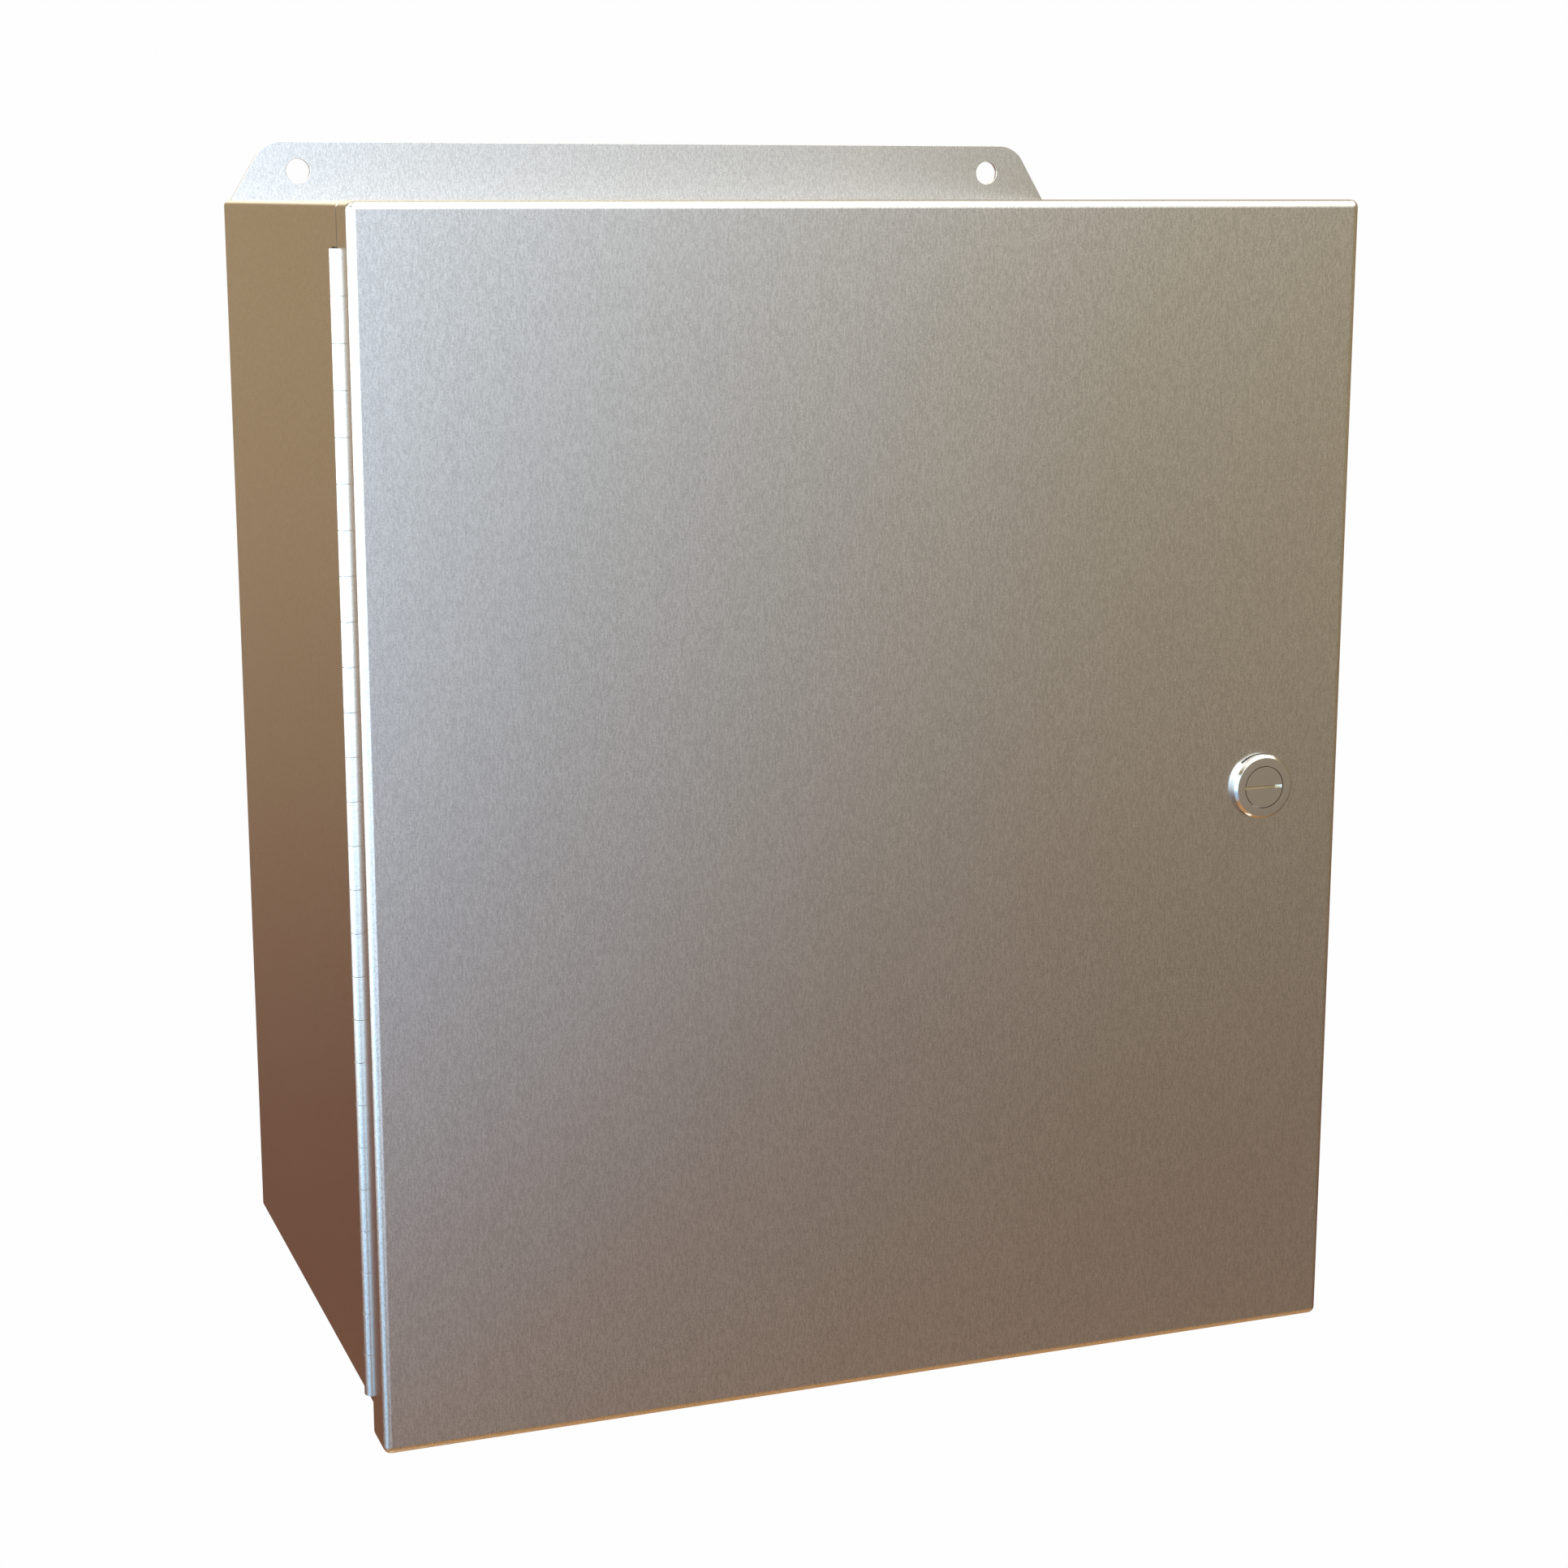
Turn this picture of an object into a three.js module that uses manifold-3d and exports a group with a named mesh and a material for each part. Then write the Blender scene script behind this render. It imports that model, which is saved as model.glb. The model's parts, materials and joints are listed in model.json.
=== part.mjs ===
// Hinged-door wall enclosure in stainless sheet, with mounting flanges, a continuous hinge
// and a slotted quarter-turn latch. Millimetres.
// Frame: X to the right, Y towards the wall, Z up. The origin is the centre of the body's back face,
// so the wall is the plane y = 0 and the door faces -Y.
import * as THREE from 'three';
import { mergeVertices } from 'three/addons/utils/BufferGeometryUtils.js';
import Module from 'manifold-3d';

const wasm = await Module();
wasm.setup();

// ---------- driving dimensions ----------
const SHEET = 1.5;                       // stainless sheet of the body and the door

// body
const BODY_WIDTH = 297;
const BODY_HEIGHT = 345;
const REAR_BEND_RADIUS = 2.5;            // outer radius of the folds between the back and the sides

// door: flush with the body on the left and the top, overhanging on the right and below
const DOOR_WIDTH = 308;
const DOOR_HEIGHT = 355.5;
const DOOR_FRONT = -195;                 // y of the door's front face
const DOOR_FLANGE_DEPTH = 14;            // how far the door's edges turn back
const DOOR_TOP_RISE = 0.25;              // door's top above the body's top
const DOOR_BEND_RADIUS = 2.5;
const DOOR_CORNER_RADIUS = 1.25;         // ground weld where two door flanges meet

// front rim of the body, which the door's gasket seals on; depths are behind the door's front face
const RIM_FRONT_DEPTH = 6.5;
const RIM_WIDTH = 8;
const SHOULDER_DEPTH = 14.5;             // the step on the left and the top, behind the door's flange
const TOP_STEP = 8;                      // how far the rim is stepped in at the top
const HINGE_POCKET_DEPTH = 21;           // the left shoulder lies deeper behind the hinge barrel
const HINGE_POCKET_CLEARANCE = 0.35;

// mounting flanges, which are the back sheet carried on above and below the body
const FLANGE_HEIGHT = 18.75;
const FLANGE_RELIEF = 2.5;               // notch between a flange's foot and the body's side
const FLANGE_SLOPE = THREE.MathUtils.degToRad(59);
const FLANGE_CORNER_RADIUS = 9.5;
const BOLT_SPACING = 247.5;
const BOLT_HOLE_RADIUS = 3.95;
const BOLT_HEIGHT = 9.375;               // hole's centre above the body

// continuous hinge
const KNUCKLE_COUNT = 26;
const KNUCKLE_PITCH = 12.7;
const KNUCKLE_GAP = 0.3;
const BARREL_RADIUS = 2.75;
const PIN_RADIUS = 1.5;
const BARREL_BORE_RADIUS = 1.75;
const PIN_INSET = 0.875;                 // pin's axis inside the body's left side
const PIN_DEPTH = 17;                    // pin's axis behind the door's front face
const HINGE_TOP_GAP = 12.7;              // from the door's top to the first knuckle
const LEAF = 1.25;                       // leaf's thickness
const LEAF_CLEARANCE = 0.5;              // between the two folded leaves
const LEAF_REACH_DEPTH = 13.75;          // leaves stop here, beside the other leaf's knuckles
const DOOR_LEAF_FRONT_DEPTH = 3.25;
const BODY_LEAF_FRONT_DEPTH = 8.25;

// gasket on the door
const GASKET_WIDTH = 8.5;
const GASKET_THICKNESS = 4.5;
const GASKET_RIGHT_SHIFT = 2;            // carried out to the right to clear the latch's nut

// inner panel on its four collar studs
const PANEL_WIDTH = 276;
const PANEL_HEIGHT = 324;
const PANEL_THICKNESS = 2.5;
const PANEL_CORNER_RADIUS = 4;
const PANEL_STUD_X = 127;
const PANEL_STUD_Z = 152.5;
const COLLAR_RADIUS = 7;
const COLLAR_LENGTH = 12;
const HOLE_CLEARANCE = 0.4;              // between a stud and what slips over it
const BODY_GROUND_Y = -24;               // ground stud on the body's left side, in front of the panel
const BODY_GROUND_Z = -110;
const DOOR_GROUND_X = 130;               // ground stud inside the door, below the latch
const DOOR_GROUND_Z = -145;

// latch, on its own axis; y = 0 is the door's front face
const LATCH_FROM_DOOR_RIGHT = 27.75;
const LATCH_HEAD_RADIUS = 10;
const LATCH_HEAD_FRONT = -2.75;
const LATCH_CHAMFER = 1.25;
const LATCH_SEAL = 0.5;
const LATCH_BARREL_RADIUS = 8;
const LATCH_BARREL_END = 8;
const LATCH_BARREL_FLAT = 7.5;           // half the width across the barrel's two flats
const LATCH_BARREL_FLOOR = 3.5;          // thickness of the barrel's closed end
const LATCH_BORE_RADIUS = 6.75;
const LATCH_CORE_RADIUS = 6.5;
const LATCH_CORE_FRONT = -2.5;
const LATCH_CORE_END = 4;
const SEAL_GROOVE = [0.5, 2.5];          // groove for the O-ring, from and to
const SEAL_GROOVE_RADIUS = 5;
const LATCH_SLOT_WIDTH = 1;
const LATCH_SLOT_DEPTH = 1;
const SPINDLE_RADIUS = 4.1;
const CAM_FRONT = 8.5;
const CAM_THICKNESS = 2.5;
const CAM_REACH = 14.25;
const CAM_WIDTH = 12;
const CAM_SQUARE = 6.5;
const LATCH_GAP = 0.25;
const THREAD_STANDOUT = 0.75;            // thread past the cam's nut

// fasteners: thread radius, washer radius, washer thickness, nut across flats, nut thickness
const PANEL_FASTENER = {
  thread: 4, washer: 8.5, washerThickness: 1.5, nutFlats: 13, nut: 6.5, length: 28.5,
};
const GROUND_FASTENER = {
  thread: 3, washer: 6, washerThickness: 1.25, nutFlats: 10, nut: 5, length: 14,
};
const CAM_FASTENER = { thread: 2.5, washer: 5, washerThickness: 1, nutFlats: 8, nut: 3.5 };
const LATCH_NUT = { washer: 10, washerThickness: 0.75, nutFlats: 19, nut: 3.5 };

// ---------- places worked out from them ----------
const bodyLeft = -BODY_WIDTH / 2;
const bodyRight = BODY_WIDTH / 2;
const bodyTop = BODY_HEIGHT / 2;
const bodyBottom = -BODY_HEIGHT / 2;

const doorLeft = bodyLeft;
const doorRight = doorLeft + DOOR_WIDTH;
const doorTop = bodyTop + DOOR_TOP_RISE;
const doorBottom = doorTop - DOOR_HEIGHT;

const rimFront = DOOR_FRONT + RIM_FRONT_DEPTH;
const rimBack = rimFront + SHEET;
const shoulderFront = DOOR_FRONT + SHOULDER_DEPTH;
const rimLeft = bodyLeft + SHEET + 2 * LEAF + LEAF_CLEARANCE;   // the folded leaves fill the step
const rimTop = bodyTop - TOP_STEP;
const pocketFront = DOOR_FRONT + HINGE_POCKET_DEPTH;

const pinX = bodyLeft + PIN_INSET;
const pinY = DOOR_FRONT + PIN_DEPTH;
const hingeTop = doorTop - HINGE_TOP_GAP;
const hingeBottom = hingeTop - KNUCKLE_COUNT * KNUCKLE_PITCH;
const pocketTop = hingeTop + HINGE_POCKET_CLEARANCE;
const pocketBottom = hingeBottom - HINGE_POCKET_CLEARANCE;

const latchX = doorRight - LATCH_FROM_DOOR_RIGHT;
const latchZ = (doorTop + doorBottom) / 2;

const ROUND = 20;                        // sides of a round solid
const SMALL_ROUND = 14;

// ---------- finishes ----------
const finish = (color, roughness, metalness) =>
  new THREE.MeshStandardMaterial({ color, roughness, metalness, flatShading: true });
const stainless = finish(0xb9b6b0, 0.42, 1);
const hingeSteel = finish(0xc9ccd0, 0.35, 1);
const chrome = finish(0xdfe2e6, 0.12, 1);
const zinc = finish(0xb4b8ba, 0.38, 1);
const panelPaint = finish(0xe6e6e1, 0.55, 0);
const rubber = finish(0x242424, 0.85, 0);

// ---------- solids ----------
function toSolid(geometry) {
  const bare = geometry.clone();
  bare.deleteAttribute('normal');
  bare.deleteAttribute('uv');
  const merged = mergeVertices(bare);
  const corners = merged.index.array;
  const kept = [];
  for (let i = 0; i < corners.length; i += 3) {
    const [a, b, c] = [corners[i], corners[i + 1], corners[i + 2]];
    if (a !== b && b !== c && c !== a) kept.push(a, b, c);
  }
  const vertProperties = Float32Array.from(merged.attributes.position.array);
  if (signedVolume(vertProperties, kept) < 0) kept.reverse();
  return new wasm.Manifold(new wasm.Mesh({ numProp: 3, vertProperties, triVerts: Uint32Array.from(kept) }));
}

function signedVolume(positions, corners) {
  const at = (i) => new THREE.Vector3().fromArray(positions, 3 * corners[i]);
  let sum = 0;
  for (let i = 0; i < corners.length; i += 3) sum += at(i).dot(at(i + 1).cross(at(i + 2)));
  return sum / 6;
}

function toGeometry(solid) {
  const mesh = solid.getMesh();
  const geometry = new THREE.BufferGeometry();
  geometry.setAttribute('position', new THREE.BufferAttribute(Float32Array.from(mesh.vertProperties), 3));
  geometry.setIndex(new THREE.BufferAttribute(Uint32Array.from(mesh.triVerts), 1));
  geometry.computeVertexNormals();
  return geometry;
}

const join = (solids) => solids.reduce((whole, solid) => whole.add(solid));
const cut = (solid, tools) => tools.reduce((rest, tool) => rest.subtract(tool), solid);

function block([x0, x1], [y0, y1], [z0, z1]) {
  const geometry = new THREE.BoxGeometry(x1 - x0, y1 - y0, z1 - z0);
  geometry.translate((x0 + x1) / 2, (y0 + y1) / 2, (z0 + z1) / 2);
  return toSolid(geometry);
}

// an outline in X and Y carried along Z
function prismZ(shape, [z0, z1], curveSegments = 4) {
  const geometry = new THREE.ExtrudeGeometry(shape, { depth: z1 - z0, bevelEnabled: false, curveSegments });
  geometry.translate(0, 0, z0);
  return toSolid(geometry);
}

// an outline in X and Z carried along Y
function prismY(shape, [y0, y1], curveSegments = 4) {
  const geometry = new THREE.ExtrudeGeometry(shape, { depth: y1 - y0, bevelEnabled: false, curveSegments });
  geometry.rotateX(Math.PI / 2).translate(0, y1, 0);
  return toSolid(geometry);
}

// a profile of [radius, y] points turned about the Y axis
function turned(profile, sides = ROUND) {
  const points = profile.map(([radius, y]) => new THREE.Vector2(radius, y));
  return toSolid(new THREE.LatheGeometry(points, sides));
}

function rod(radius, [y0, y1], sides = ROUND) {
  return turned([[0, y0], [radius, y0], [radius, y1], [0, y1]], sides);
}

function ring(inner, outer, [y0, y1], sides = ROUND) {
  return turned([[inner, y0], [outer, y0], [outer, y1], [inner, y1], [inner, y0]], sides);
}

function rodZ(radius, [z0, z1], x, y, sides) {
  const geometry = new THREE.CylinderGeometry(radius, radius, z1 - z0, sides);
  geometry.rotateX(Math.PI / 2).translate(x, y, (z0 + z1) / 2);
  return toSolid(geometry);
}

// a polygon whose corners are rounded with the radii given for them
function roundedShape(corners) {
  const shape = new THREE.Shape();
  corners.forEach(([x, y, radius = 0], i) => {
    const corner = new THREE.Vector2(x, y);
    const [beforeX, beforeY] = corners[(i + corners.length - 1) % corners.length];
    const [afterX, afterY] = corners[(i + 1) % corners.length];
    const toBefore = new THREE.Vector2(beforeX, beforeY).sub(corner).normalize();
    const toAfter = new THREE.Vector2(afterX, afterY).sub(corner).normalize();
    if (radius === 0) {
      moveOrLine(shape, corner, i === 0);
      return;
    }
    const halfAngle = Math.acos(toBefore.dot(toAfter)) / 2;
    const setback = radius / Math.tan(halfAngle);
    const start = corner.clone().addScaledVector(toBefore, setback);
    const end = corner.clone().addScaledVector(toAfter, setback);
    const inward = toBefore.clone().add(toAfter).normalize();
    const centre = corner.clone().addScaledVector(inward, radius / Math.sin(halfAngle));
    const clockwise = toBefore.cross(toAfter) > 0;
    moveOrLine(shape, start, i === 0);
    const [from, to] = [start, end].map((p) => Math.atan2(p.y - centre.y, p.x - centre.x));
    shape.absarc(centre.x, centre.y, radius, from, to, clockwise);
  });
  return shape;
}

function moveOrLine(shape, point, first) {
  if (first) shape.moveTo(point.x, point.y);
  else shape.lineTo(point.x, point.y);
}

const rectangle = ([x0, x1], [y0, y1], radius = 0) =>
  roundedShape([[x0, y0, radius], [x1, y0, radius], [x1, y1, radius], [x0, y1, radius]]);

// regular hexagon with a flat facing +X
function hexagon(acrossFlats) {
  const radius = acrossFlats / Math.sqrt(3);
  const angles = [30, 90, 150, 210, 270, 330].map(THREE.MathUtils.degToRad);
  return roundedShape(angles.map((angle) => [radius * Math.cos(angle), radius * Math.sin(angle)]));
}

const hexNut = (acrossFlats, boreRadius, yRange) =>
  prismY(hexagon(acrossFlats), yRange).subtract(rod(boreRadius, [yRange[0] - 1, yRange[1] + 1]));

// ---------- tree ----------
const object = new THREE.Group();
const enclosure = new THREE.Group();
const door = new THREE.Group();
const latch = new THREE.Group();
latch.position.set(latchX, DOOR_FRONT, latchZ);
object.add(enclosure, door, latch);

function addPiece(parent, name, solid, material) {
  const mesh = new THREE.Mesh(toGeometry(solid), material);
  mesh.name = name;
  parent.add(mesh);
  return mesh;
}

// ---------- body ----------
// one sheet: the back with both mounting flanges, and the two sides folded forward from it
function backAndSides() {
  const outline = roundedShape([
    [bodyLeft, shoulderFront], [bodyRight, shoulderFront],
    [bodyRight, 0, REAR_BEND_RADIUS], [bodyLeft, 0, REAR_BEND_RADIUS],
  ]);
  const outer = prismZ(outline, [bodyBottom, bodyTop]);
  const inside = block([bodyLeft + SHEET, bodyRight - SHEET], [shoulderFront - 1, -SHEET],
    [bodyBottom - 1, bodyTop + 1]);
  const channel = outer.subtract(inside);
  const pocket = block([bodyLeft - 1, rimLeft], [shoulderFront - 1, pocketFront], [pocketBottom, pocketTop]);
  const sheet = join([channel, backSheet(), leftRim(), rightRim()]);
  return join([cut(sheet, [pocket]), hingePocket()]);
}

function backSheet() {
  const foot = bodyRight - FLANGE_RELIEF;
  const tip = foot - FLANGE_HEIGHT / Math.tan(FLANGE_SLOPE);
  const height = bodyTop + FLANGE_HEIGHT;
  const radius = FLANGE_CORNER_RADIUS;
  const outline = roundedShape([
    [foot, bodyBottom], [foot, bodyTop], [tip, height, radius], [-tip, height, radius],
    [-foot, bodyTop], [-foot, bodyBottom], [-tip, -height, radius], [tip, -height, radius],
  ]);
  const holes = [];
  for (const x of [-BOLT_SPACING / 2, BOLT_SPACING / 2]) {
    for (const z of [bodyTop + BOLT_HEIGHT, bodyBottom - BOLT_HEIGHT]) {
      holes.push(rod(BOLT_HOLE_RADIUS, [-SHEET - 1, 1]).translate([x, 0, z]));
    }
  }
  return cut(prismY(outline, [-SHEET, 0], 6), holes);
}

// hinge side: a shoulder behind the door's flange, a lip stepped in from it and the sealing rim
function leftRim() {
  const inner = rimLeft + SHEET;
  return join([
    block([bodyLeft, inner], [shoulderFront, shoulderFront + SHEET], [bodyBottom, bodyTop]),
    block([rimLeft, inner], [rimFront, shoulderFront + SHEET], [bodyBottom, rimTop]),
    block([rimLeft, rimLeft + RIM_WIDTH], [rimFront, rimBack], [bodyBottom, rimTop]),
  ]);
}

// latch side: the wall runs straight forward inside the door's flange
function rightRim() {
  return join([
    block([bodyRight - SHEET, bodyRight], [rimFront, shoulderFront], [bodyBottom, rimTop]),
    block([bodyRight - RIM_WIDTH, bodyRight], [rimFront, rimBack], [bodyBottom, rimTop]),
  ]);
}

// the deeper stretch of the left shoulder that the hinge's barrel turns in, closed at both ends
function hingePocket() {
  const inner = rimLeft + SHEET;
  const pocketBack = pocketFront + SHEET;
  return join([
    block([bodyLeft, inner], [pocketFront, pocketBack], [pocketBottom - SHEET, pocketTop + SHEET]),
    block([rimLeft, inner], [shoulderFront, pocketBack], [pocketBottom, pocketTop]),
    block([bodyLeft, inner], [shoulderFront, pocketBack], [pocketTop, pocketTop + SHEET]),
    block([bodyLeft, inner], [shoulderFront, pocketBack], [pocketBottom - SHEET, pocketBottom]),
  ]);
}

function topWall() {
  const across = [bodyLeft + SHEET, bodyRight - SHEET];
  return join([
    block(across, [shoulderFront, -SHEET], [bodyTop - SHEET, bodyTop]),
    block(across, [shoulderFront, shoulderFront + SHEET], [rimTop - SHEET, bodyTop]),
    block([rimLeft, bodyRight - SHEET], [rimFront, shoulderFront + SHEET], [rimTop - SHEET, rimTop]),
    block([rimLeft, bodyRight - SHEET], [rimFront, rimBack], [rimTop - RIM_WIDTH, rimTop]),
  ]);
}

function bottomWall() {
  const across = [bodyLeft + SHEET, bodyRight - SHEET];
  return join([
    block(across, [shoulderFront, -SHEET], [bodyBottom, bodyBottom + SHEET]),
    block([rimLeft, bodyRight - SHEET], [rimFront, shoulderFront], [bodyBottom, bodyBottom + SHEET]),
    block([rimLeft, bodyRight - SHEET], [rimFront, rimBack], [bodyBottom, bodyBottom + RIM_WIDTH]),
  ]);
}

const folded = backAndSides();
addPiece(enclosure, 'back_and_sides', folded, stainless);
addPiece(enclosure, 'top_wall', cut(topWall(), [folded]), stainless);
addPiece(enclosure, 'bottom_wall', cut(bottomWall(), [folded]), stainless);

// ---------- hinge ----------
function knuckleRange(i) {
  const top = hingeTop - i * KNUCKLE_PITCH;
  return [top - KNUCKLE_PITCH + KNUCKLE_GAP / 2, top - KNUCKLE_GAP / 2];
}

function hingeLeaf(plate, neck, firstKnuckle) {
  const pieces = [plate];
  for (let i = firstKnuckle; i < KNUCKLE_COUNT; i += 2) {
    pieces.push(rodZ(BARREL_RADIUS, knuckleRange(i), pinX, pinY, SMALL_ROUND));
    pieces.push(prismZ(neck, knuckleRange(i)));
  }
  const bore = rodZ(BARREL_BORE_RADIUS, [hingeBottom - 1, hingeTop + 1], pinX, pinY, SMALL_ROUND);
  return cut(join(pieces), [bore]);
}

// the body's leaf lies on the outside of the left lip
function bodyLeaf() {
  const leafRight = rimLeft;
  const leafLeft = leafRight - LEAF;
  const reach = DOOR_FRONT + LEAF_REACH_DEPTH;
  const plate = block([leafLeft, leafRight], [DOOR_FRONT + BODY_LEAF_FRONT_DEPTH, reach],
    [hingeBottom, hingeTop]);
  const neck = roundedShape([
    [leafLeft, reach - LEAF / 2], [leafRight, reach - LEAF / 2], [leafRight, reach + LEAF / 2],
    [pinX + BARREL_RADIUS, pinY], [pinX + BARREL_RADIUS / 2, pinY - BARREL_BORE_RADIUS],
  ]);
  return hingeLeaf(plate, neck, 0);
}

// the door's leaf lies on the inside of the door's left flange
function doorLeaf() {
  const leafLeft = doorLeft + SHEET;
  const leafRight = leafLeft + LEAF;
  const reach = DOOR_FRONT + LEAF_REACH_DEPTH;
  const plate = block([leafLeft, leafRight], [DOOR_FRONT + DOOR_LEAF_FRONT_DEPTH, reach],
    [hingeBottom, hingeTop]);
  const neck = rectangle([leafLeft, leafRight], [reach - LEAF, pinY - BARREL_BORE_RADIUS]);
  return hingeLeaf(plate, neck, 1);
}

addPiece(enclosure, 'hinge_body_leaf', bodyLeaf(), hingeSteel);
const hingePin = rodZ(PIN_RADIUS, [hingeBottom, hingeTop], pinX, pinY, SMALL_ROUND);
addPiece(enclosure, 'hinge_pin', hingePin, hingeSteel);
addPiece(door, 'hinge_door_leaf', doorLeaf(), hingeSteel);

// ---------- door ----------
// a block with its front edges rounded as folded sheet is
function panSolid(inset, bendRadius) {
  const [x0, x1] = [doorLeft + inset, doorRight - inset];
  const [z0, z1] = [doorBottom + inset, doorTop - inset];
  const front = DOOR_FRONT + inset;
  const back = DOOR_FRONT + DOOR_FLANGE_DEPTH + inset;
  const depth = back - front;
  const acrossFold = roundedShape([[x0, back], [x0, front, bendRadius], [x1, front, bendRadius], [x1, back]]);
  const sideways = prismZ(acrossFold, [z0, z1]);
  const downFold = roundedShape([[0, z0], [-depth, z0, bendRadius], [-depth, z1, bendRadius], [0, z1]]);
  const options = { depth: x1 - x0, bevelEnabled: false, curveSegments: 4 };
  const geometry = new THREE.ExtrudeGeometry(downFold, options);
  geometry.applyMatrix4(new THREE.Matrix4().makeBasis(
    new THREE.Vector3(0, 1, 0), new THREE.Vector3(0, 0, 1), new THREE.Vector3(1, 0, 0)));
  geometry.translate(x0, back, 0);
  return sideways.intersect(toSolid(geometry));
}

function doorShell() {
  const barrelHole = rod(LATCH_BARREL_RADIUS + LATCH_GAP, [-1, SHEET + 1])
    .intersect(block([-LATCH_HEAD_RADIUS, LATCH_HEAD_RADIUS], [-2, SHEET + 2],
      [-LATCH_BARREL_FLAT - LATCH_GAP, LATCH_BARREL_FLAT + LATCH_GAP]))
    .translate([latchX, DOOR_FRONT, latchZ]);
  const corners = rectangle([doorLeft, doorRight], [doorBottom, doorTop], DOOR_CORNER_RADIUS);
  const outer = panSolid(0, DOOR_BEND_RADIUS)
    .intersect(prismY(corners, [DOOR_FRONT - 1, DOOR_FRONT + DOOR_FLANGE_DEPTH]));
  return cut(outer, [panSolid(SHEET, DOOR_BEND_RADIUS - SHEET), barrelHole]);
}

function gasket() {
  const half = (GASKET_WIDTH - RIM_WIDTH) / 2;
  const yRange = [DOOR_FRONT + SHEET, DOOR_FRONT + SHEET + GASKET_THICKNESS];
  const outerX = [rimLeft - half, bodyRight + half + GASKET_RIGHT_SHIFT];
  const outerZ = [bodyBottom - half, rimTop + half];
  const outer = rectangle(outerX, outerZ, GASKET_WIDTH / 2);
  const inner = rectangle([outerX[0] + GASKET_WIDTH, outerX[1] - GASKET_WIDTH],
    [outerZ[0] + GASKET_WIDTH, outerZ[1] - GASKET_WIDTH]);
  return prismY(outer, yRange).subtract(prismY(inner, [yRange[0] - 1, yRange[1] + 1]));
}

addPiece(door, 'door_shell', doorShell(), stainless);
addPiece(door, 'door_gasket', gasket(), rubber);

// ---------- studs, washers and nuts ----------
// each is built on the Y axis pointing at -Y from its seat at y = 0
function addStudSet(parent, names, fastener, { seat, collar, place, turn }) {
  const hole = fastener.thread + HOLE_CLEARANCE;
  const washerEnd = seat - fastener.washerThickness;
  const nutEnd = washerEnd - fastener.nut;
  const solids = {
    [names.stud]: collar
      ? join([rod(fastener.thread, [-fastener.length, 0], SMALL_ROUND), collar])
      : rod(fastener.thread, [-fastener.length, 0], SMALL_ROUND),
    [names.washer]: ring(hole, fastener.washer, [washerEnd, seat], SMALL_ROUND),
    [names.nut]: hexNut(fastener.nutFlats, hole, [nutEnd, washerEnd]),
  };
  for (const [name, solid] of Object.entries(solids)) {
    const mesh = addPiece(parent, name, solid, zinc);
    mesh.position.set(...place);
    mesh.rotation.z = turn ?? 0;
  }
}

function innerPanel() {
  const back = -SHEET - COLLAR_LENGTH;
  const front = back - PANEL_THICKNESS;
  const across = [-PANEL_WIDTH / 2, PANEL_WIDTH / 2];
  const upright = [-PANEL_HEIGHT / 2, PANEL_HEIGHT / 2];
  const plate = prismY(rectangle(across, upright, PANEL_CORNER_RADIUS), [front, back]);
  const hole = rod(PANEL_FASTENER.thread + HOLE_CLEARANCE, [front - 1, back + 1]);
  const holes = panelStudPlaces().map(([x, , z]) => hole.translate([x, 0, z]));
  return cut(plate, holes);
}

function panelStudPlaces() {
  const places = [];
  for (const z of [PANEL_STUD_Z, -PANEL_STUD_Z]) {
    for (const x of [-PANEL_STUD_X, PANEL_STUD_X]) places.push([x, -SHEET, z]);
  }
  return places;
}

addPiece(enclosure, 'inner_panel', innerPanel(), panelPaint);
const CORNERS = ['top_left', 'top_right', 'bottom_left', 'bottom_right'];
panelStudPlaces().forEach((place, i) => {
  const corner = CORNERS[i];
  const names = {
    stud: `panel_stud_${corner}`, washer: `panel_washer_${corner}`, nut: `panel_nut_${corner}`,
  };
  const seat = -COLLAR_LENGTH - PANEL_THICKNESS;
  const collar = rod(COLLAR_RADIUS, [-COLLAR_LENGTH, 0]);
  addStudSet(enclosure, names, PANEL_FASTENER, { seat, collar, place });
});

// ground stud of the body, on the inside of its left side in front of the panel
addStudSet(enclosure, { stud: 'body_ground_stud', washer: 'body_ground_washer', nut: 'body_ground_nut' },
  GROUND_FASTENER, { seat: 0, place: [bodyLeft + SHEET, BODY_GROUND_Y, BODY_GROUND_Z], turn: Math.PI / 2 });

// ground stud of the door, on its inside below the latch; it points towards the wall
addStudSet(door, { stud: 'door_ground_stud', washer: 'door_ground_washer', nut: 'door_ground_nut' },
  GROUND_FASTENER, { seat: 0, place: [DOOR_GROUND_X, DOOR_FRONT + SHEET, DOOR_GROUND_Z], turn: Math.PI });

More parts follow.
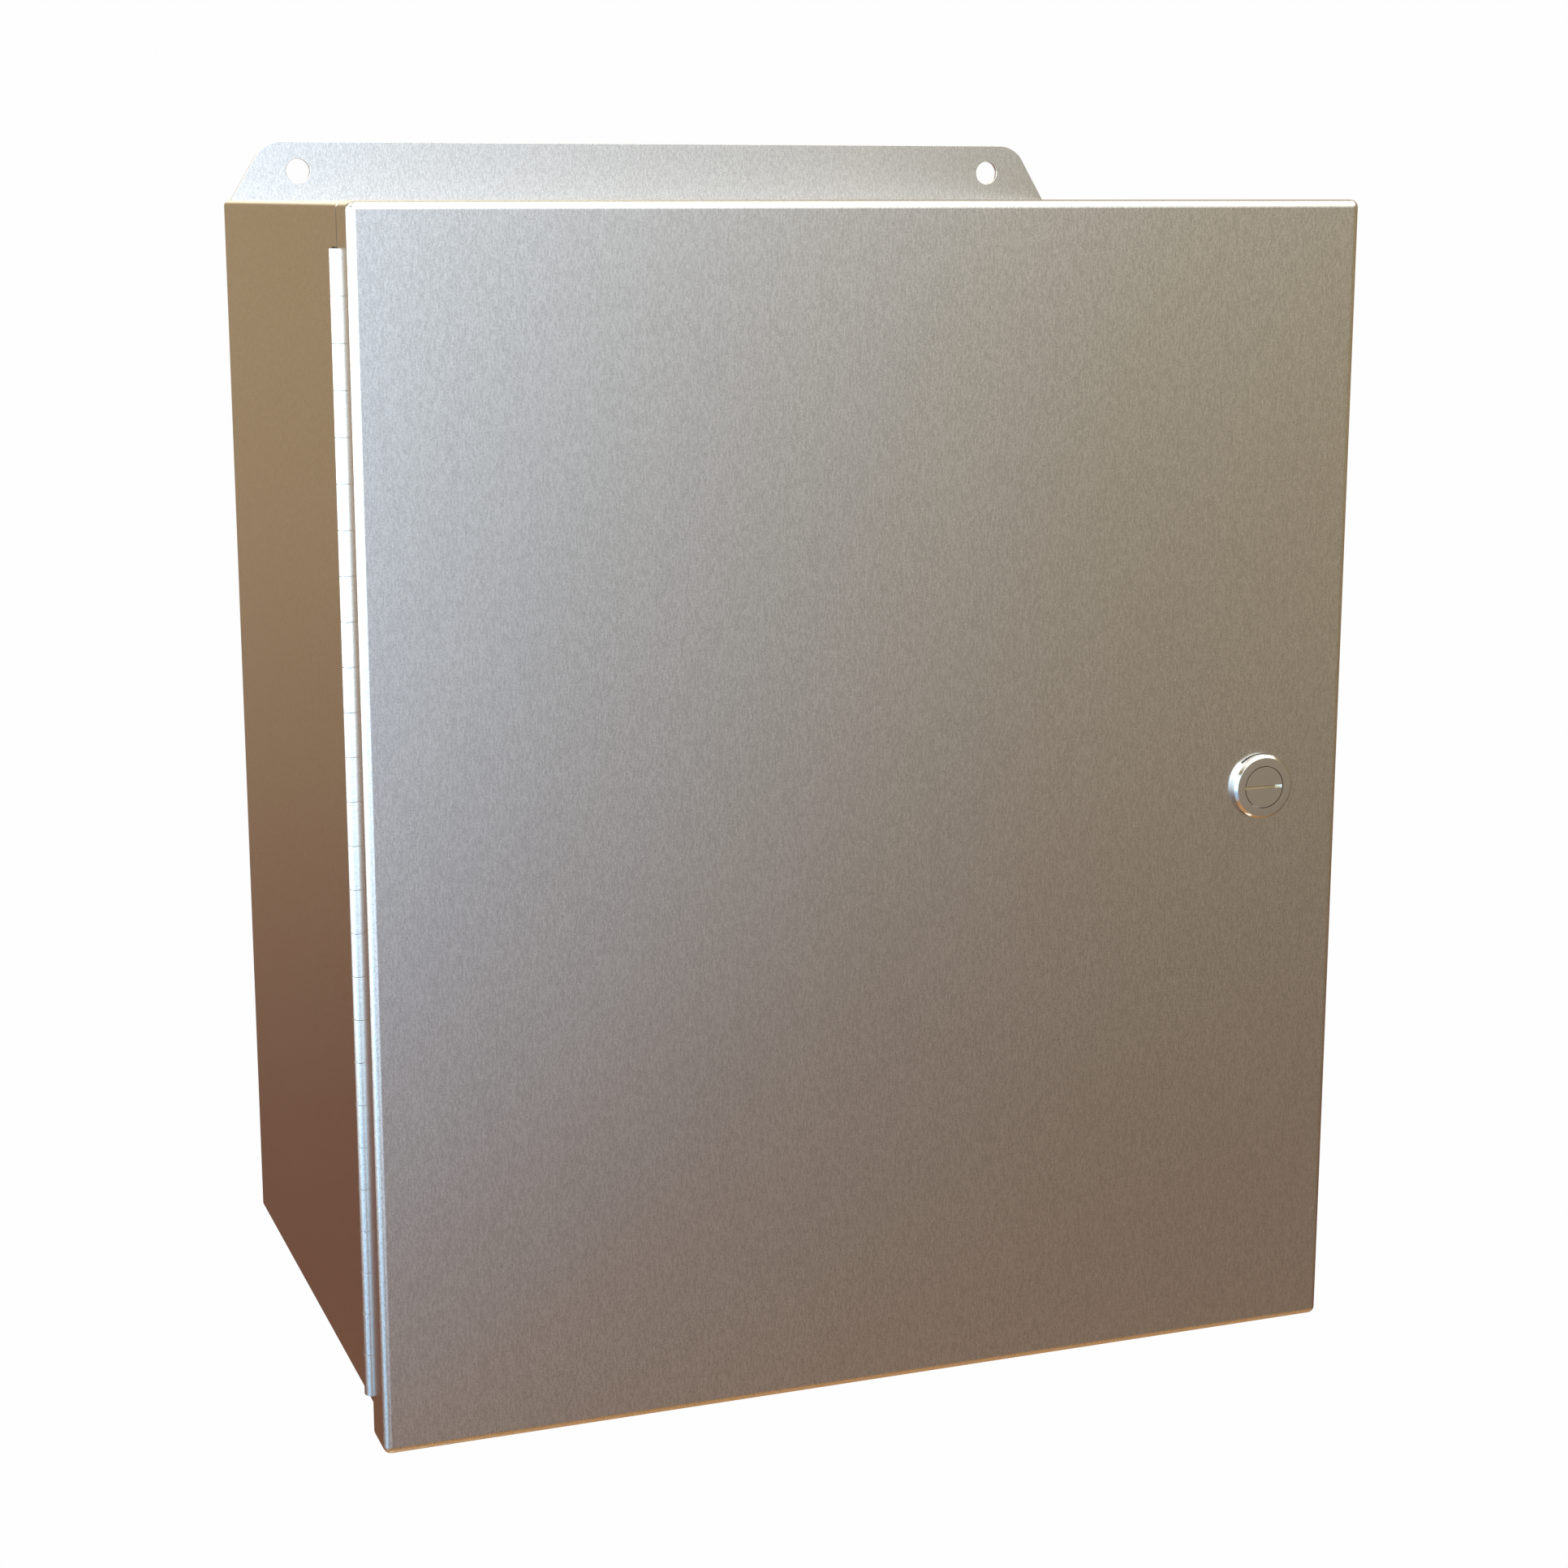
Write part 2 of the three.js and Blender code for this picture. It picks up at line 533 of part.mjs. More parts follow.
// ---------- latch ----------
function latchHousing() {
  const floor = LATCH_BARREL_END - LATCH_BARREL_FLOOR;
  const head = turned([
    [LATCH_BORE_RADIUS, LATCH_HEAD_FRONT], [LATCH_HEAD_RADIUS - LATCH_CHAMFER, LATCH_HEAD_FRONT],
    [LATCH_HEAD_RADIUS, LATCH_HEAD_FRONT + LATCH_CHAMFER], [LATCH_HEAD_RADIUS, -LATCH_SEAL],
    [LATCH_BARREL_RADIUS, -LATCH_SEAL], [LATCH_BARREL_RADIUS, LATCH_BARREL_END],
    [SPINDLE_RADIUS + LATCH_GAP, LATCH_BARREL_END], [SPINDLE_RADIUS + LATCH_GAP, floor],
    [LATCH_BORE_RADIUS, floor], [LATCH_BORE_RADIUS, LATCH_HEAD_FRONT],
  ], 32);
  const across = [-LATCH_HEAD_RADIUS, LATCH_HEAD_RADIUS];
  const along = [-LATCH_SEAL, LATCH_BARREL_END + 1];
  const flats = [
    block(across, along, [LATCH_BARREL_FLAT, LATCH_HEAD_RADIUS]),
    block(across, along, [-LATCH_HEAD_RADIUS, -LATCH_BARREL_FLAT]),
  ];
  return cut(head, flats);
}

function latchCore() {
  const [grooveStart, grooveEnd] = SEAL_GROOVE;
  const thread = CAM_FASTENER.thread;
  const threadEnd = CAM_FRONT + CAM_THICKNESS + CAM_FASTENER.washerThickness + CAM_FASTENER.nut
    + THREAD_STANDOUT;
  const body = turned([
    [0, LATCH_CORE_FRONT], [LATCH_CORE_RADIUS, LATCH_CORE_FRONT], [LATCH_CORE_RADIUS, grooveStart],
    [SEAL_GROOVE_RADIUS, grooveStart], [SEAL_GROOVE_RADIUS, grooveEnd],
    [LATCH_CORE_RADIUS, grooveEnd], [LATCH_CORE_RADIUS, LATCH_CORE_END],
    [SPINDLE_RADIUS, LATCH_CORE_END], [SPINDLE_RADIUS, CAM_FRONT],
    [thread, CAM_FRONT], [thread, threadEnd], [0, threadEnd],
  ], 32);
  const half = CAM_SQUARE / 2;
  const square = block([-half, half],
    [LATCH_BARREL_END + LATCH_GAP, CAM_FRONT + CAM_THICKNESS - LATCH_GAP], [-half, half]);
  const slot = block([-LATCH_CORE_RADIUS - 1, LATCH_CORE_RADIUS + 1],
    [LATCH_CORE_FRONT - 1, LATCH_CORE_FRONT + LATCH_SLOT_DEPTH],
    [-LATCH_SLOT_WIDTH / 2, LATCH_SLOT_WIDTH / 2]);
  return cut(join([body, square]), [slot]);
}

// the cam points up when the latch is open and to the right, behind the rim, when it is turned home
function latchCam() {
  const half = CAM_WIDTH / 2;
  const yRange = [CAM_FRONT, CAM_FRONT + CAM_THICKNESS];
  const arm = block([-half, half], yRange, [0, CAM_REACH]);
  const hub = rod(half, yRange, ROUND);
  const hole = (CAM_SQUARE + 0.6) / 2;
  const through = [CAM_FRONT - 1, CAM_FRONT + CAM_THICKNESS + 1];
  const plate = join([arm, hub]).intersect(rod(CAM_REACH, through, 48));
  return plate.subtract(block([-hole, hole], through, [-hole, hole]));
}

function addLatch() {
  const sleeve = LATCH_BARREL_RADIUS + LATCH_GAP;
  const washerEnd = SHEET + LATCH_NUT.washerThickness;
  const fixed = new THREE.Group();
  fixed.position.copy(latch.position);
  door.add(fixed);
  addPiece(fixed, 'latch_housing', latchHousing(), chrome);
  addPiece(fixed, 'latch_seal', ring(sleeve, LATCH_HEAD_RADIUS - 0.5, [-LATCH_SEAL, 0]), rubber);
  addPiece(fixed, 'latch_washer', ring(sleeve, LATCH_NUT.washer, [SHEET, washerEnd]), zinc);
  const nut = hexNut(LATCH_NUT.nutFlats, sleeve, [washerEnd, washerEnd + LATCH_NUT.nut]);
  addPiece(fixed, 'latch_nut', nut, zinc);

  const camEnd = CAM_FRONT + CAM_THICKNESS;
  const camWasherEnd = camEnd + CAM_FASTENER.washerThickness;
  const hole = CAM_FASTENER.thread + HOLE_CLEARANCE;
  addPiece(latch, 'latch_core', latchCore(), chrome);
  const [grooveStart, grooveEnd] = SEAL_GROOVE;
  const seal = ring(SEAL_GROOVE_RADIUS + LATCH_GAP, LATCH_CORE_RADIUS - 0.1,
    [grooveStart + LATCH_GAP, grooveEnd - LATCH_GAP]);
  addPiece(latch, 'latch_o_ring', seal, rubber);
  addPiece(latch, 'latch_cam', latchCam(), zinc);
  const camWasher = ring(hole, CAM_FASTENER.washer, [camEnd, camWasherEnd], SMALL_ROUND);
  addPiece(latch, 'latch_cam_washer', camWasher, zinc);
  addPiece(latch, 'latch_cam_nut',
    hexNut(CAM_FASTENER.nutFlats, hole, [camWasherEnd, camWasherEnd + CAM_FASTENER.nut]), zinc);
}
addLatch();

export default object;
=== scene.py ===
# %% [markdown]
# # A stainless steel wall enclosure
# This lesson dresses a box that an electrician hangs on a wall: a folded and welded body, a door
# on a continuous hinge, and a latch that a coin or a screwdriver turns by a quarter.
# The plain model is loaded first. It has the right sizes and it moves, so nothing of it is moved
# here. What it lacks is what sheet metal looks like: folds with a radius, knuckles curled from
# strip, screw threads, a satin surface with an upright grain. Those are made piece by piece.

# %% load the plain model
import json
from contextlib import contextmanager
from math import cos, pi, radians, sin, sqrt, tan

import bmesh
import bpy
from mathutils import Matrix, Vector


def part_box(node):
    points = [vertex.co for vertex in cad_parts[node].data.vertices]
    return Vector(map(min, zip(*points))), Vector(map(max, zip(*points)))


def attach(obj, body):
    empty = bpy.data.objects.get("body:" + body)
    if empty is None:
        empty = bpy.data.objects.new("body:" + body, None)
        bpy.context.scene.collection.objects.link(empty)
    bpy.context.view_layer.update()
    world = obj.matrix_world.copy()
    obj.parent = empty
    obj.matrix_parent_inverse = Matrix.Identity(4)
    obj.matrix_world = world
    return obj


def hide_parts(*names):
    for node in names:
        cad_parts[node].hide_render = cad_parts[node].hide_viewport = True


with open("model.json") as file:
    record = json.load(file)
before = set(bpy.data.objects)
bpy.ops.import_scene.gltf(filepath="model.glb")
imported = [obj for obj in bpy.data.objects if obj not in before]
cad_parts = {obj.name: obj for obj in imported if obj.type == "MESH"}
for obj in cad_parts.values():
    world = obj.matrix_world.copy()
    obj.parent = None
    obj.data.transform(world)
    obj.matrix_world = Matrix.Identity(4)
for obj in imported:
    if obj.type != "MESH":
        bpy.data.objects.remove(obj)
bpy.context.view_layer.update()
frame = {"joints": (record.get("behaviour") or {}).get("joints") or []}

MM = 0.001

# %% [markdown]
# ## The camera
# It stands a little to the left of the box, level with the door's top, and looks slightly down
# and to the right. A longish lens keeps the edges nearly parallel, as in a catalogue picture.
# Its place is given in the box's own frame, where the wall is at y = 0 and z points up.

# %% camera
EYE = Vector((-0.3065, -0.9501, 0.1740))
LOOK_RIGHT = radians(20.41)
LOOK_DOWN = radians(11.72)
LENS = 65.14
FILM_WIDTH = 36

camera_data = bpy.data.cameras.new("camera")
camera_data.lens = LENS
camera_data.sensor_width = FILM_WIDTH
camera = bpy.data.objects.new("camera", camera_data)
camera.location = EYE
camera.rotation_euler = (pi / 2 - LOOK_DOWN, 0, -LOOK_RIGHT)
bpy.context.collection.objects.link(camera)
bpy.context.scene.camera = camera
bpy.context.scene.view_settings.view_transform = "Standard"
print("camera at", tuple(round(v, 3) for v in EYE))

# %% [markdown]
# ## Shader maths in plain Python
# A procedural material is a small network of nodes. Written node by node it is long and hard to
# read, so two small classes help. A Value wraps a socket and knows + - * and so on; a Graph adds
# any other node from its type, its settings and what goes into its sockets.

# %% a small language for shaders
class Value:
    """What comes out of a node, ready to be used in a sum."""

    def __init__(self, graph, socket):
        self.graph = graph
        self.socket = socket

    def math(self, operation, first, second):
        return self.graph.node("ShaderNodeMath", {"operation": operation}, {0: first, 1: second})

    def __add__(self, other):
        return self.math("ADD", self, other)

    def __sub__(self, other):
        return self.math("SUBTRACT", self, other)

    def __rsub__(self, other):
        return self.math("SUBTRACT", other, self)

    def __mul__(self, other):
        return self.math("MULTIPLY", self, other)

    def __neg__(self):
        return self.math("MULTIPLY", self, -1.0)

    __radd__ = __add__
    __rmul__ = __mul__

    def step(self, low, high):
        """0 below low, 1 above high, with a soft step between them."""
        return self.graph.node(
            "ShaderNodeMapRange", {"interpolation_type": "SMOOTHSTEP"},
            {"Value": self, "From Min": low, "From Max": high})


class Graph:
    """A material's or the world's nodes."""

    def __init__(self, owner):
        owner.use_nodes = True
        self.tree = owner.node_tree
        self.tree.nodes.clear()

    def node(self, kind, settings, inputs, output=0):
        made = self.tree.nodes.new(kind)
        for name, setting in settings.items():
            setattr(made, name, setting)
        for name, value in inputs.items():
            if isinstance(value, Value):
                self.tree.links.new(value.socket, made.inputs[name])
            else:
                made.inputs[name].default_value = value
        return Value(self, made.outputs[output]) if made.outputs else None

    def mix(self, factor, low, high):
        """A colour on the way from low to high."""
        low, high = (c if isinstance(c, Value) else (*c, 1.0) for c in (low, high))
        return self.node("ShaderNodeMix", {"data_type": "RGBA"}, {0: factor, 6: low, 7: high}, 2)


# %% [markdown]
# ## The room
# Satin metal shows its surroundings in soft focus, so the room makes most of the look. A long cool
# window runs from behind the viewer's left shoulder round the side, a high one is behind the
# viewer, the ceiling is white with a few lamps near it, and the rest is warm: brown walls above
# an orange-brown ground. Lamps and cards could do the same, but each would also mirror as a shape
# in the bright latch, so the world holds that room as a colour for each direction. The viewer's
# own eye sees plain white instead, as in a cut-out catalogue picture.

# %% the room's colours, one direction at a time
WALL_BEHIND = (0.42, 0.29, 0.15)
WALL_IN_FRONT = (0.44, 0.36, 0.22)
GROUND_BEHIND = (0.165, 0.055, 0.025)
GROUND_IN_FRONT = (0.25, 0.17, 0.12)
GROUND_BELOW = (0.70, 0.38, 0.16)
SEEN_WHITE = (0.99, 0.99, 0.99)
# Where one colour turns into the next: in degrees from straight ahead of the box, and by height,
# from 0 at the horizon to 1 straight down.
FRONT_TO_BEHIND = (40, 140)
WALL_TO_GROUND = (0.0, 0.38)
GROUND_TO_BELOW = (0.3, 0.95)
# A window's heights: where its lower edge begins and ends, and the same for its upper edge.
SILL_AND_LINTEL = (-0.42, -0.05, 0.3, 0.5)
HIGH_SILL = (0.04, 0.12, 0.3, 0.5)
# Each light has the way to it, the degrees round it where it is still full and where it ends, its
# colour, and a window's heights.
SOFT_LIGHTS = {
    "ceiling": ((0, 0, 1), 30, 60, (0.9, 0.95, 0.95), None),
    "lamp_above": ((0.45, -0.35, 0.82), 22, 36, (2.3, 2.2, 1.95), None),
    "upper_wall": ((0.1, -0.75, 0.65), 10, 42, (0.8, 0.8, 0.78), None),
    "corner_lamp": ((-0.35, -0.8, 0.5), 5, 18, (2.5, 2.5, 2.4), None),
    "left_lamp": ((-0.6, 0.1, 0.75), 12, 26, (2.2, 2.1, 1.9), None),
    "high_window": ((-0.1, -1, 0.05), 18, 50, (1.05, 1.1, 1.2), HIGH_SILL),
    "back_glow": ((0.05, 0.9, 0.42), 8, 22, (1.6, 1.5, 1.2), None),
    "long_window": ((-0.82, -0.57, 0), 50, 69, (1.6, 2.05, 2.5), SILL_AND_LINTEL),
    "front_window": ((-0.1, -1, 0.05), 5, 35, (0.28, 0.42, 0.66), None),
    "side_window": ((-0.97, 0.26, 0), 25, 42, (2.2, 2.5, 2.7), SILL_AND_LINTEL),
    "pale_ground": ((-0.9, -0.4, -0.33), 5, 30, (0.25, 0.6, 0.95), None),
}


def paint_world():
    world = bpy.data.worlds.new("studio")
    bpy.context.scene.world = world
    graph = Graph(world)
    direction = graph.node("ShaderNodeTexCoord", {}, {}, "Generated")
    height = graph.node("ShaderNodeSeparateXYZ", {}, {0: direction}, "Z")

    def towards(aim, inner, outer):
        """1 within inner degrees of the aim, 0 beyond outer degrees."""
        facing = graph.node("ShaderNodeVectorMath", {"operation": "DOT_PRODUCT"},
                            {0: direction, 1: Vector(aim).normalized()}, "Value")
        return facing.step(cos(radians(outer)), cos(radians(inner)))

    in_front = towards((0, -1, 0), *FRONT_TO_BEHIND)
    walls = graph.mix(in_front, WALL_BEHIND, WALL_IN_FRONT)
    ground = graph.mix(in_front, GROUND_BEHIND, GROUND_IN_FRONT)
    ground = graph.mix((-height).step(*GROUND_TO_BELOW), ground, GROUND_BELOW)
    room = graph.mix((-height).step(*WALL_TO_GROUND), walls, ground)
    for aim, inner, outer, colour, window in SOFT_LIGHTS.values():
        lit = towards(aim, inner, outer)
        if window:
            sill_low, sill_high, lintel_low, lintel_high = window
            above, over = height.step(sill_low, sill_high), height.step(lintel_low, lintel_high)
            lit = lit * above * (1 - over)
        room = graph.node("ShaderNodeMix", {"data_type": "RGBA", "blend_type": "ADD"},
                          {0: lit, 6: room, 7: (*colour, 1.0)}, 2)
    seen = graph.node("ShaderNodeLightPath", {}, {}, "Is Camera Ray")
    shown = graph.mix(seen, room, SEEN_WHITE)
    background = graph.node("ShaderNodeBackground", {}, {"Color": shown})
    graph.node("ShaderNodeOutputWorld", {}, {"Surface": background})
    print("room painted with", len(graph.tree.nodes), "nodes")


paint_world()

# %% [markdown]
# ## The floor
# A plain pale floor. It lies far below the box and is small, so that the metal mirrors the room
# that was painted above and not the floor.

# %% floor
FLOOR_DROP = 5.0
FLOOR_WIDTH = 1.4
FLOOR_DARK, FLOOR_LIGHT = (0.80, 0.74, 0.66), (0.84, 0.78, 0.70)

bpy.ops.object.select_all(action="DESELECT")
bpy.ops.mesh.primitive_plane_add(size=FLOOR_WIDTH, location=(0, 0, -FLOOR_DROP))
floor = bpy.context.object
floor.name = "floor"
bpy.ops.object.transform_apply(location=True, rotation=True, scale=True)
pale = bpy.data.materials.new("pale_floor")
graph = Graph(pale)
mottle = graph.node("ShaderNodeTexNoise", {}, {"Scale": 3.0, "Detail": 2.0}, "Fac")
tone = graph.mix(mottle, FLOOR_DARK, FLOOR_LIGHT)
shader = graph.node("ShaderNodeBsdfPrincipled", {}, {"Base Color": tone, "Roughness": 0.8})
graph.node("ShaderNodeOutputMaterial", {}, {"Surface": shader})
floor.data.materials.append(pale)
print("floor", FLOOR_DROP, "m below the box's centre")

# %% [markdown]
# ## Helpers for working by hand
# Each piece is modelled as one would at the screen: add a primitive, go into edit mode, select
# some faces or edges, and extrude, bevel or spin them. In a script the selecting is done by
# place: an edge is picked because it lies at a certain x, y or z.

# %% picking and editing
TOUCH = 0.01 * MM  # two places nearer than this are the same place
FACING = 0.9  # the least share of an axis in the normal of a face that looks along it


def pick(piece):
    """Selects this piece alone and makes it the active one."""
    bpy.ops.object.select_all(action="DESELECT")
    piece.select_set(True)
    bpy.context.view_layer.objects.active = piece


@contextmanager
def editing(piece, mode="EDGE"):
    """Edit mode with nothing selected; gives the mesh that is being edited."""
    pick(piece)
    bpy.ops.object.mode_set(mode="EDIT")
    bpy.ops.mesh.select_mode(type=mode)
    bpy.ops.mesh.select_all(action="DESELECT")
    yield bmesh.from_edit_mesh(piece.data)
    bpy.ops.object.mode_set(mode="OBJECT")


def lies_at(part, **place):
    """Whether all corners of an edge or face are at the given x, y or z."""
    return all(abs(getattr(corner.co, axis) - value) < TOUCH
               for corner in part.verts for axis, value in place.items())


def choose(piece, parts, wanted):
    """Selects the points, edges or faces for which wanted is true, and says how many."""
    chosen = [part for part in parts if wanted(part)]
    for part in chosen:
        part.select_set(True)
    bmesh.update_edit_mesh(piece.data)
    return len(chosen)


print(f"an edge lies at a place when it is within {TOUCH / MM} mm of it")

# %% [markdown]
# ### Blocks, folds and cuts
# Folded sheet is a block with rounded edges that is hollowed or cut. A boolean leaves points that
# all but touch, so each cut ends with merging them.

# %% blocks, folds and cuts
WELD = TOUCH / 10
EDGE_STEPS = 2


def block(name, low, high):
    low, high = Vector(low), Vector(high)
    bpy.ops.object.select_all(action="DESELECT")
    bpy.ops.mesh.primitive_cube_add(size=1, location=(low + high) / 2)
    piece = bpy.context.object
    piece.name = name
    piece.scale = high - low
    bpy.ops.object.transform_apply(location=True, rotation=True, scale=True)
    return piece


def round_edges(piece, radius, segments, *places, wanted=None):
    """Rounds the edges that lie at one of the places, such as {"x": 0, "z": 1}."""
    with editing(piece) as mesh:
        count = choose(piece, mesh.edges, wanted or (
            lambda edge: any(lies_at(edge, **place) for place in places)))
        bpy.ops.mesh.bevel(offset=radius, segments=segments, affect="EDGES")
    return count


def combine(piece, tool, operation):
    """Cuts the tool out of the piece, joins it on, or keeps what both share."""
    pick(piece)
    boolean = piece.modifiers.new("combine", "BOOLEAN")
    boolean.operation = operation
    boolean.object = tool
    boolean.solver = "EXACT"
    bpy.ops.object.modifier_apply(modifier=boolean.name)
    bpy.data.objects.remove(tool)
    with editing(piece):
        bpy.ops.mesh.select_all(action="SELECT")
        bpy.ops.mesh.remove_doubles(threshold=WELD)
        bpy.ops.mesh.dissolve_degenerate(threshold=WELD)


def apply_modifier(piece, kind, **settings):
    pick(piece)
    modifier = piece.modifiers.new(kind.lower(), kind)
    for name, value in settings.items():
        setattr(modifier, name, value)
    bpy.ops.object.modifier_apply(modifier=modifier.name)


def break_edges(piece, width, angle=50, segments=EDGE_STEPS):
    """Takes the sharpness off every edge that turns by more than the angle, in degrees."""
    apply_modifier(piece, "BEVEL", width=width, segments=segments, limit_method="ANGLE",
                   angle_limit=radians(angle), use_clamp_overlap=True)


print(f"points within {WELD / MM} mm of each other are merged after a cut")

# %% [markdown]
# ## Turned pieces
# Washers, studs and most of the latch come off a lathe. The start is a circle about an axis along
# y. It is pulled along the axis and scaled, one step for each corner of the profile, and the open
# ends are filled, or joined where the profile comes back to its start.

# %% turning
FINE_ROUND, ROUND, SMALL_ROUND = 128, 96, 48  # sides of a circle
SEAM = TOUCH / 4
# A thread's depth, and where its crest begins and ends, as shares of the pitch.
THREAD_DEPTH, CREST_START, CREST_END = 0.54, 0.45, 0.6


def turned(name, foot, profile, sides=ROUND):
    """The profile is a list of (radius, y from the foot)."""
    foot = Vector(foot)
    radius, along = profile[0]
    bpy.ops.object.select_all(action="DESELECT")
    bpy.ops.mesh.primitive_circle_add(
        vertices=sides, radius=radius, fill_type="NOTHING", rotation=(pi / 2, 0, 0),
        location=foot + Vector((0, along, 0)))
    piece = bpy.context.object
    piece.name = name
    bpy.ops.object.transform_apply(location=True, rotation=True, scale=True)
    with editing(piece):
        bpy.ops.mesh.select_all(action="SELECT")
        for (last_radius, last_along), (radius, along) in zip(profile, profile[1:]):
            bpy.ops.mesh.extrude_region_move(
                TRANSFORM_OT_translate={"value": (0, along - last_along, 0)})
            size = radius / last_radius
            bpy.ops.transform.resize(value=(size, 1, size),
                                     center_override=foot + Vector((0, along, 0)))
        bpy.ops.mesh.select_all(action="SELECT")
        bpy.ops.mesh.remove_doubles(threshold=SEAM)
        bpy.ops.mesh.fill_holes(sides=0)
        bpy.ops.mesh.select_all(action="SELECT")
        bpy.ops.mesh.normals_make_consistent(inside=False)
    return piece


def turned_ring(name, foot, inner, outer, start, end, edge, sides=ROUND):
    """A washer with its outer corners broken."""
    return turned(name, foot, [
        (inner, start), (outer - edge, start), (outer, start + edge), (outer, end - edge),
        (outer - edge, end), (inner, end), (inner, start)], sides)


def threaded(radius, start, end, pitch):
    """The stretch of a profile that is a screw thread, as fine grooves side by side."""
    depth = THREAD_DEPTH * pitch
    turns = max(1, round(abs(end - start) / pitch))
    step = (end - start) / turns
    profile = []
    for turn in range(turns):
        profile += [(radius - depth, start + turn * step),
                    (radius, start + (turn + CREST_START) * step),
                    (radius, start + (turn + CREST_END) * step)]
    return profile + [(radius - depth, end)]


print("turned pieces have", SMALL_ROUND, "to", FINE_ROUND, "sides")


# %% [markdown]
# ## Satin stainless steel
# The sheet comes from the mill with a fine upright grain, brushed on by a belt. Up close it is
# short streaks less than half a millimetre wide, with a fine sparkle and a cloudiness a hand
# wide. The grain could be a picture wrapped on the metal; noise stretched along z does the same
# at any size, and it runs upright on the front and on the sides alike. It is used three times: a
# little in the colour, a little in the roughness, and as a very shallow bump.

# %% a brushed metal
STREAK_WIDTH, STREAK_LENGTH = 0.4 * MM, 1.6 * MM
SPARKLE_WIDTH, BLOOM_WIDTH = 0.5 * MM, 60 * MM
CONTRAST = (0.35, 0.65)
GRAIN_STRENGTH, GRAIN_DEPTH = 0.15, 0.02 * MM


def streaks(graph, place, width, length):
    """Noise stretched upright, from 0 to 1."""
    size = (1 / width, 1 / width, 1 / length)
    stretched = graph.node("ShaderNodeMapping", {}, {"Vector": place, "Scale": size})
    return graph.node("ShaderNodeTexNoise", {},
                      {"Vector": stretched, "Scale": 1.0, "Detail": 3.0, "Roughness": 0.6}, "Fac")


def cloud(graph, place, width, detail=2.0):
    """Soft round noise, from 0 to 1."""
    return graph.node("ShaderNodeTexNoise", {},
                      {"Vector": place, "Scale": 1 / width, "Detail": detail}, "Fac")


def brushed(name, dark, light, roughness, grain=1.0):
    material = bpy.data.materials.new(name)
    graph = Graph(material)
    place = graph.node("ShaderNodeTexCoord", {}, {}, "Object")
    streak = streaks(graph, place, STREAK_WIDTH, STREAK_LENGTH)
    sparkle = cloud(graph, place, SPARKLE_WIDTH)
    bloom = cloud(graph, place, BLOOM_WIDTH)
    tone = streak.step(*CONTRAST) * 0.5 + sparkle.step(*CONTRAST) * 0.5
    colour = graph.mix(tone, dark, light)
    rough = roughness + (streak - 0.5) * 0.04 * grain + (bloom - 0.5) * 0.015
    height = streak * 0.6 + sparkle * 0.4
    bump = graph.node("ShaderNodeBump", {},
                      {"Strength": GRAIN_STRENGTH * grain, "Distance": GRAIN_DEPTH,
                       "Height": height}, "Normal")
    shader = graph.node("ShaderNodeBsdfPrincipled", {}, {
        "Base Color": colour, "Metallic": 1.0, "Roughness": rough, "Normal": bump})
    graph.node("ShaderNodeOutputMaterial", {}, {"Surface": shader})
    print(name, "made with", len(graph.tree.nodes), "nodes")
    return material


satin_steel = brushed("satin_stainless", (0.51, 0.505, 0.49), (0.71, 0.705, 0.69), 0.22)
hinge_steel = brushed("hinge_stainless", (0.56, 0.56, 0.55), (0.72, 0.72, 0.71), 0.2, grain=0.5)

# %% [markdown]
# ## The other finishes
# The latch is plated bright, with only a breath of polishing haze, but its flat front is satin like
# the sheet. The core in it is duller behind its front, and darker and browner there: the dullness
# is rougher metal, the darker brown is painted shade for the shade in its slot. Nuts and washers
# are
# zinc plated: paler, bluish, a little cloudy from the bath. The seals are black rubber with a fine
# matt skin. The inner panel is powder coated white, which dries in a gentle orange peel.

# %% plating, rubber and powder coat
BATH_WIDTH, POLISH_WIDTH = 3 * MM, 0.3 * MM
POLISH_STRENGTH, POLISH_DEPTH = 0.1, 0.01 * MM
FACE_FADE = 0.02 * MM
SATIN, SATIN_TONE = 0.24, (0.60, 0.60, 0.59)


def plated(name, dark, light, roughness, haze, satin_front=None):
    """With satin_front, what lies in front of that y is as dull as the brushed sheet."""
    material = bpy.data.materials.new(name)
    graph = Graph(material)
    place = graph.node("ShaderNodeTexCoord", {}, {}, "Object")
    bath = cloud(graph, place, BATH_WIDTH)
    fine = cloud(graph, place, POLISH_WIDTH)
    colour = graph.mix(bath.step(0.3, 0.7), dark, light)
    rough = roughness + (bath - 0.5) * haze + (fine - 0.5) * haze
    if satin_front is not None:
        depth = graph.node("ShaderNodeSeparateXYZ", {}, {0: place}, "Y")
        on_face = (-depth).step(-satin_front, -satin_front + FACE_FADE)
        rough = rough + on_face * (SATIN - roughness)
        colour = graph.mix(on_face, colour, SATIN_TONE)
    bump = graph.node("ShaderNodeBump", {},
                      {"Strength": POLISH_STRENGTH, "Distance": POLISH_DEPTH, "Height": fine},
                      "Normal")
    shader = graph.node("ShaderNodeBsdfPrincipled", {}, {
        "Base Color": colour, "Metallic": 1.0, "Roughness": rough, "Normal": bump})
    graph.node("ShaderNodeOutputMaterial", {}, {"Surface": shader})
    return material


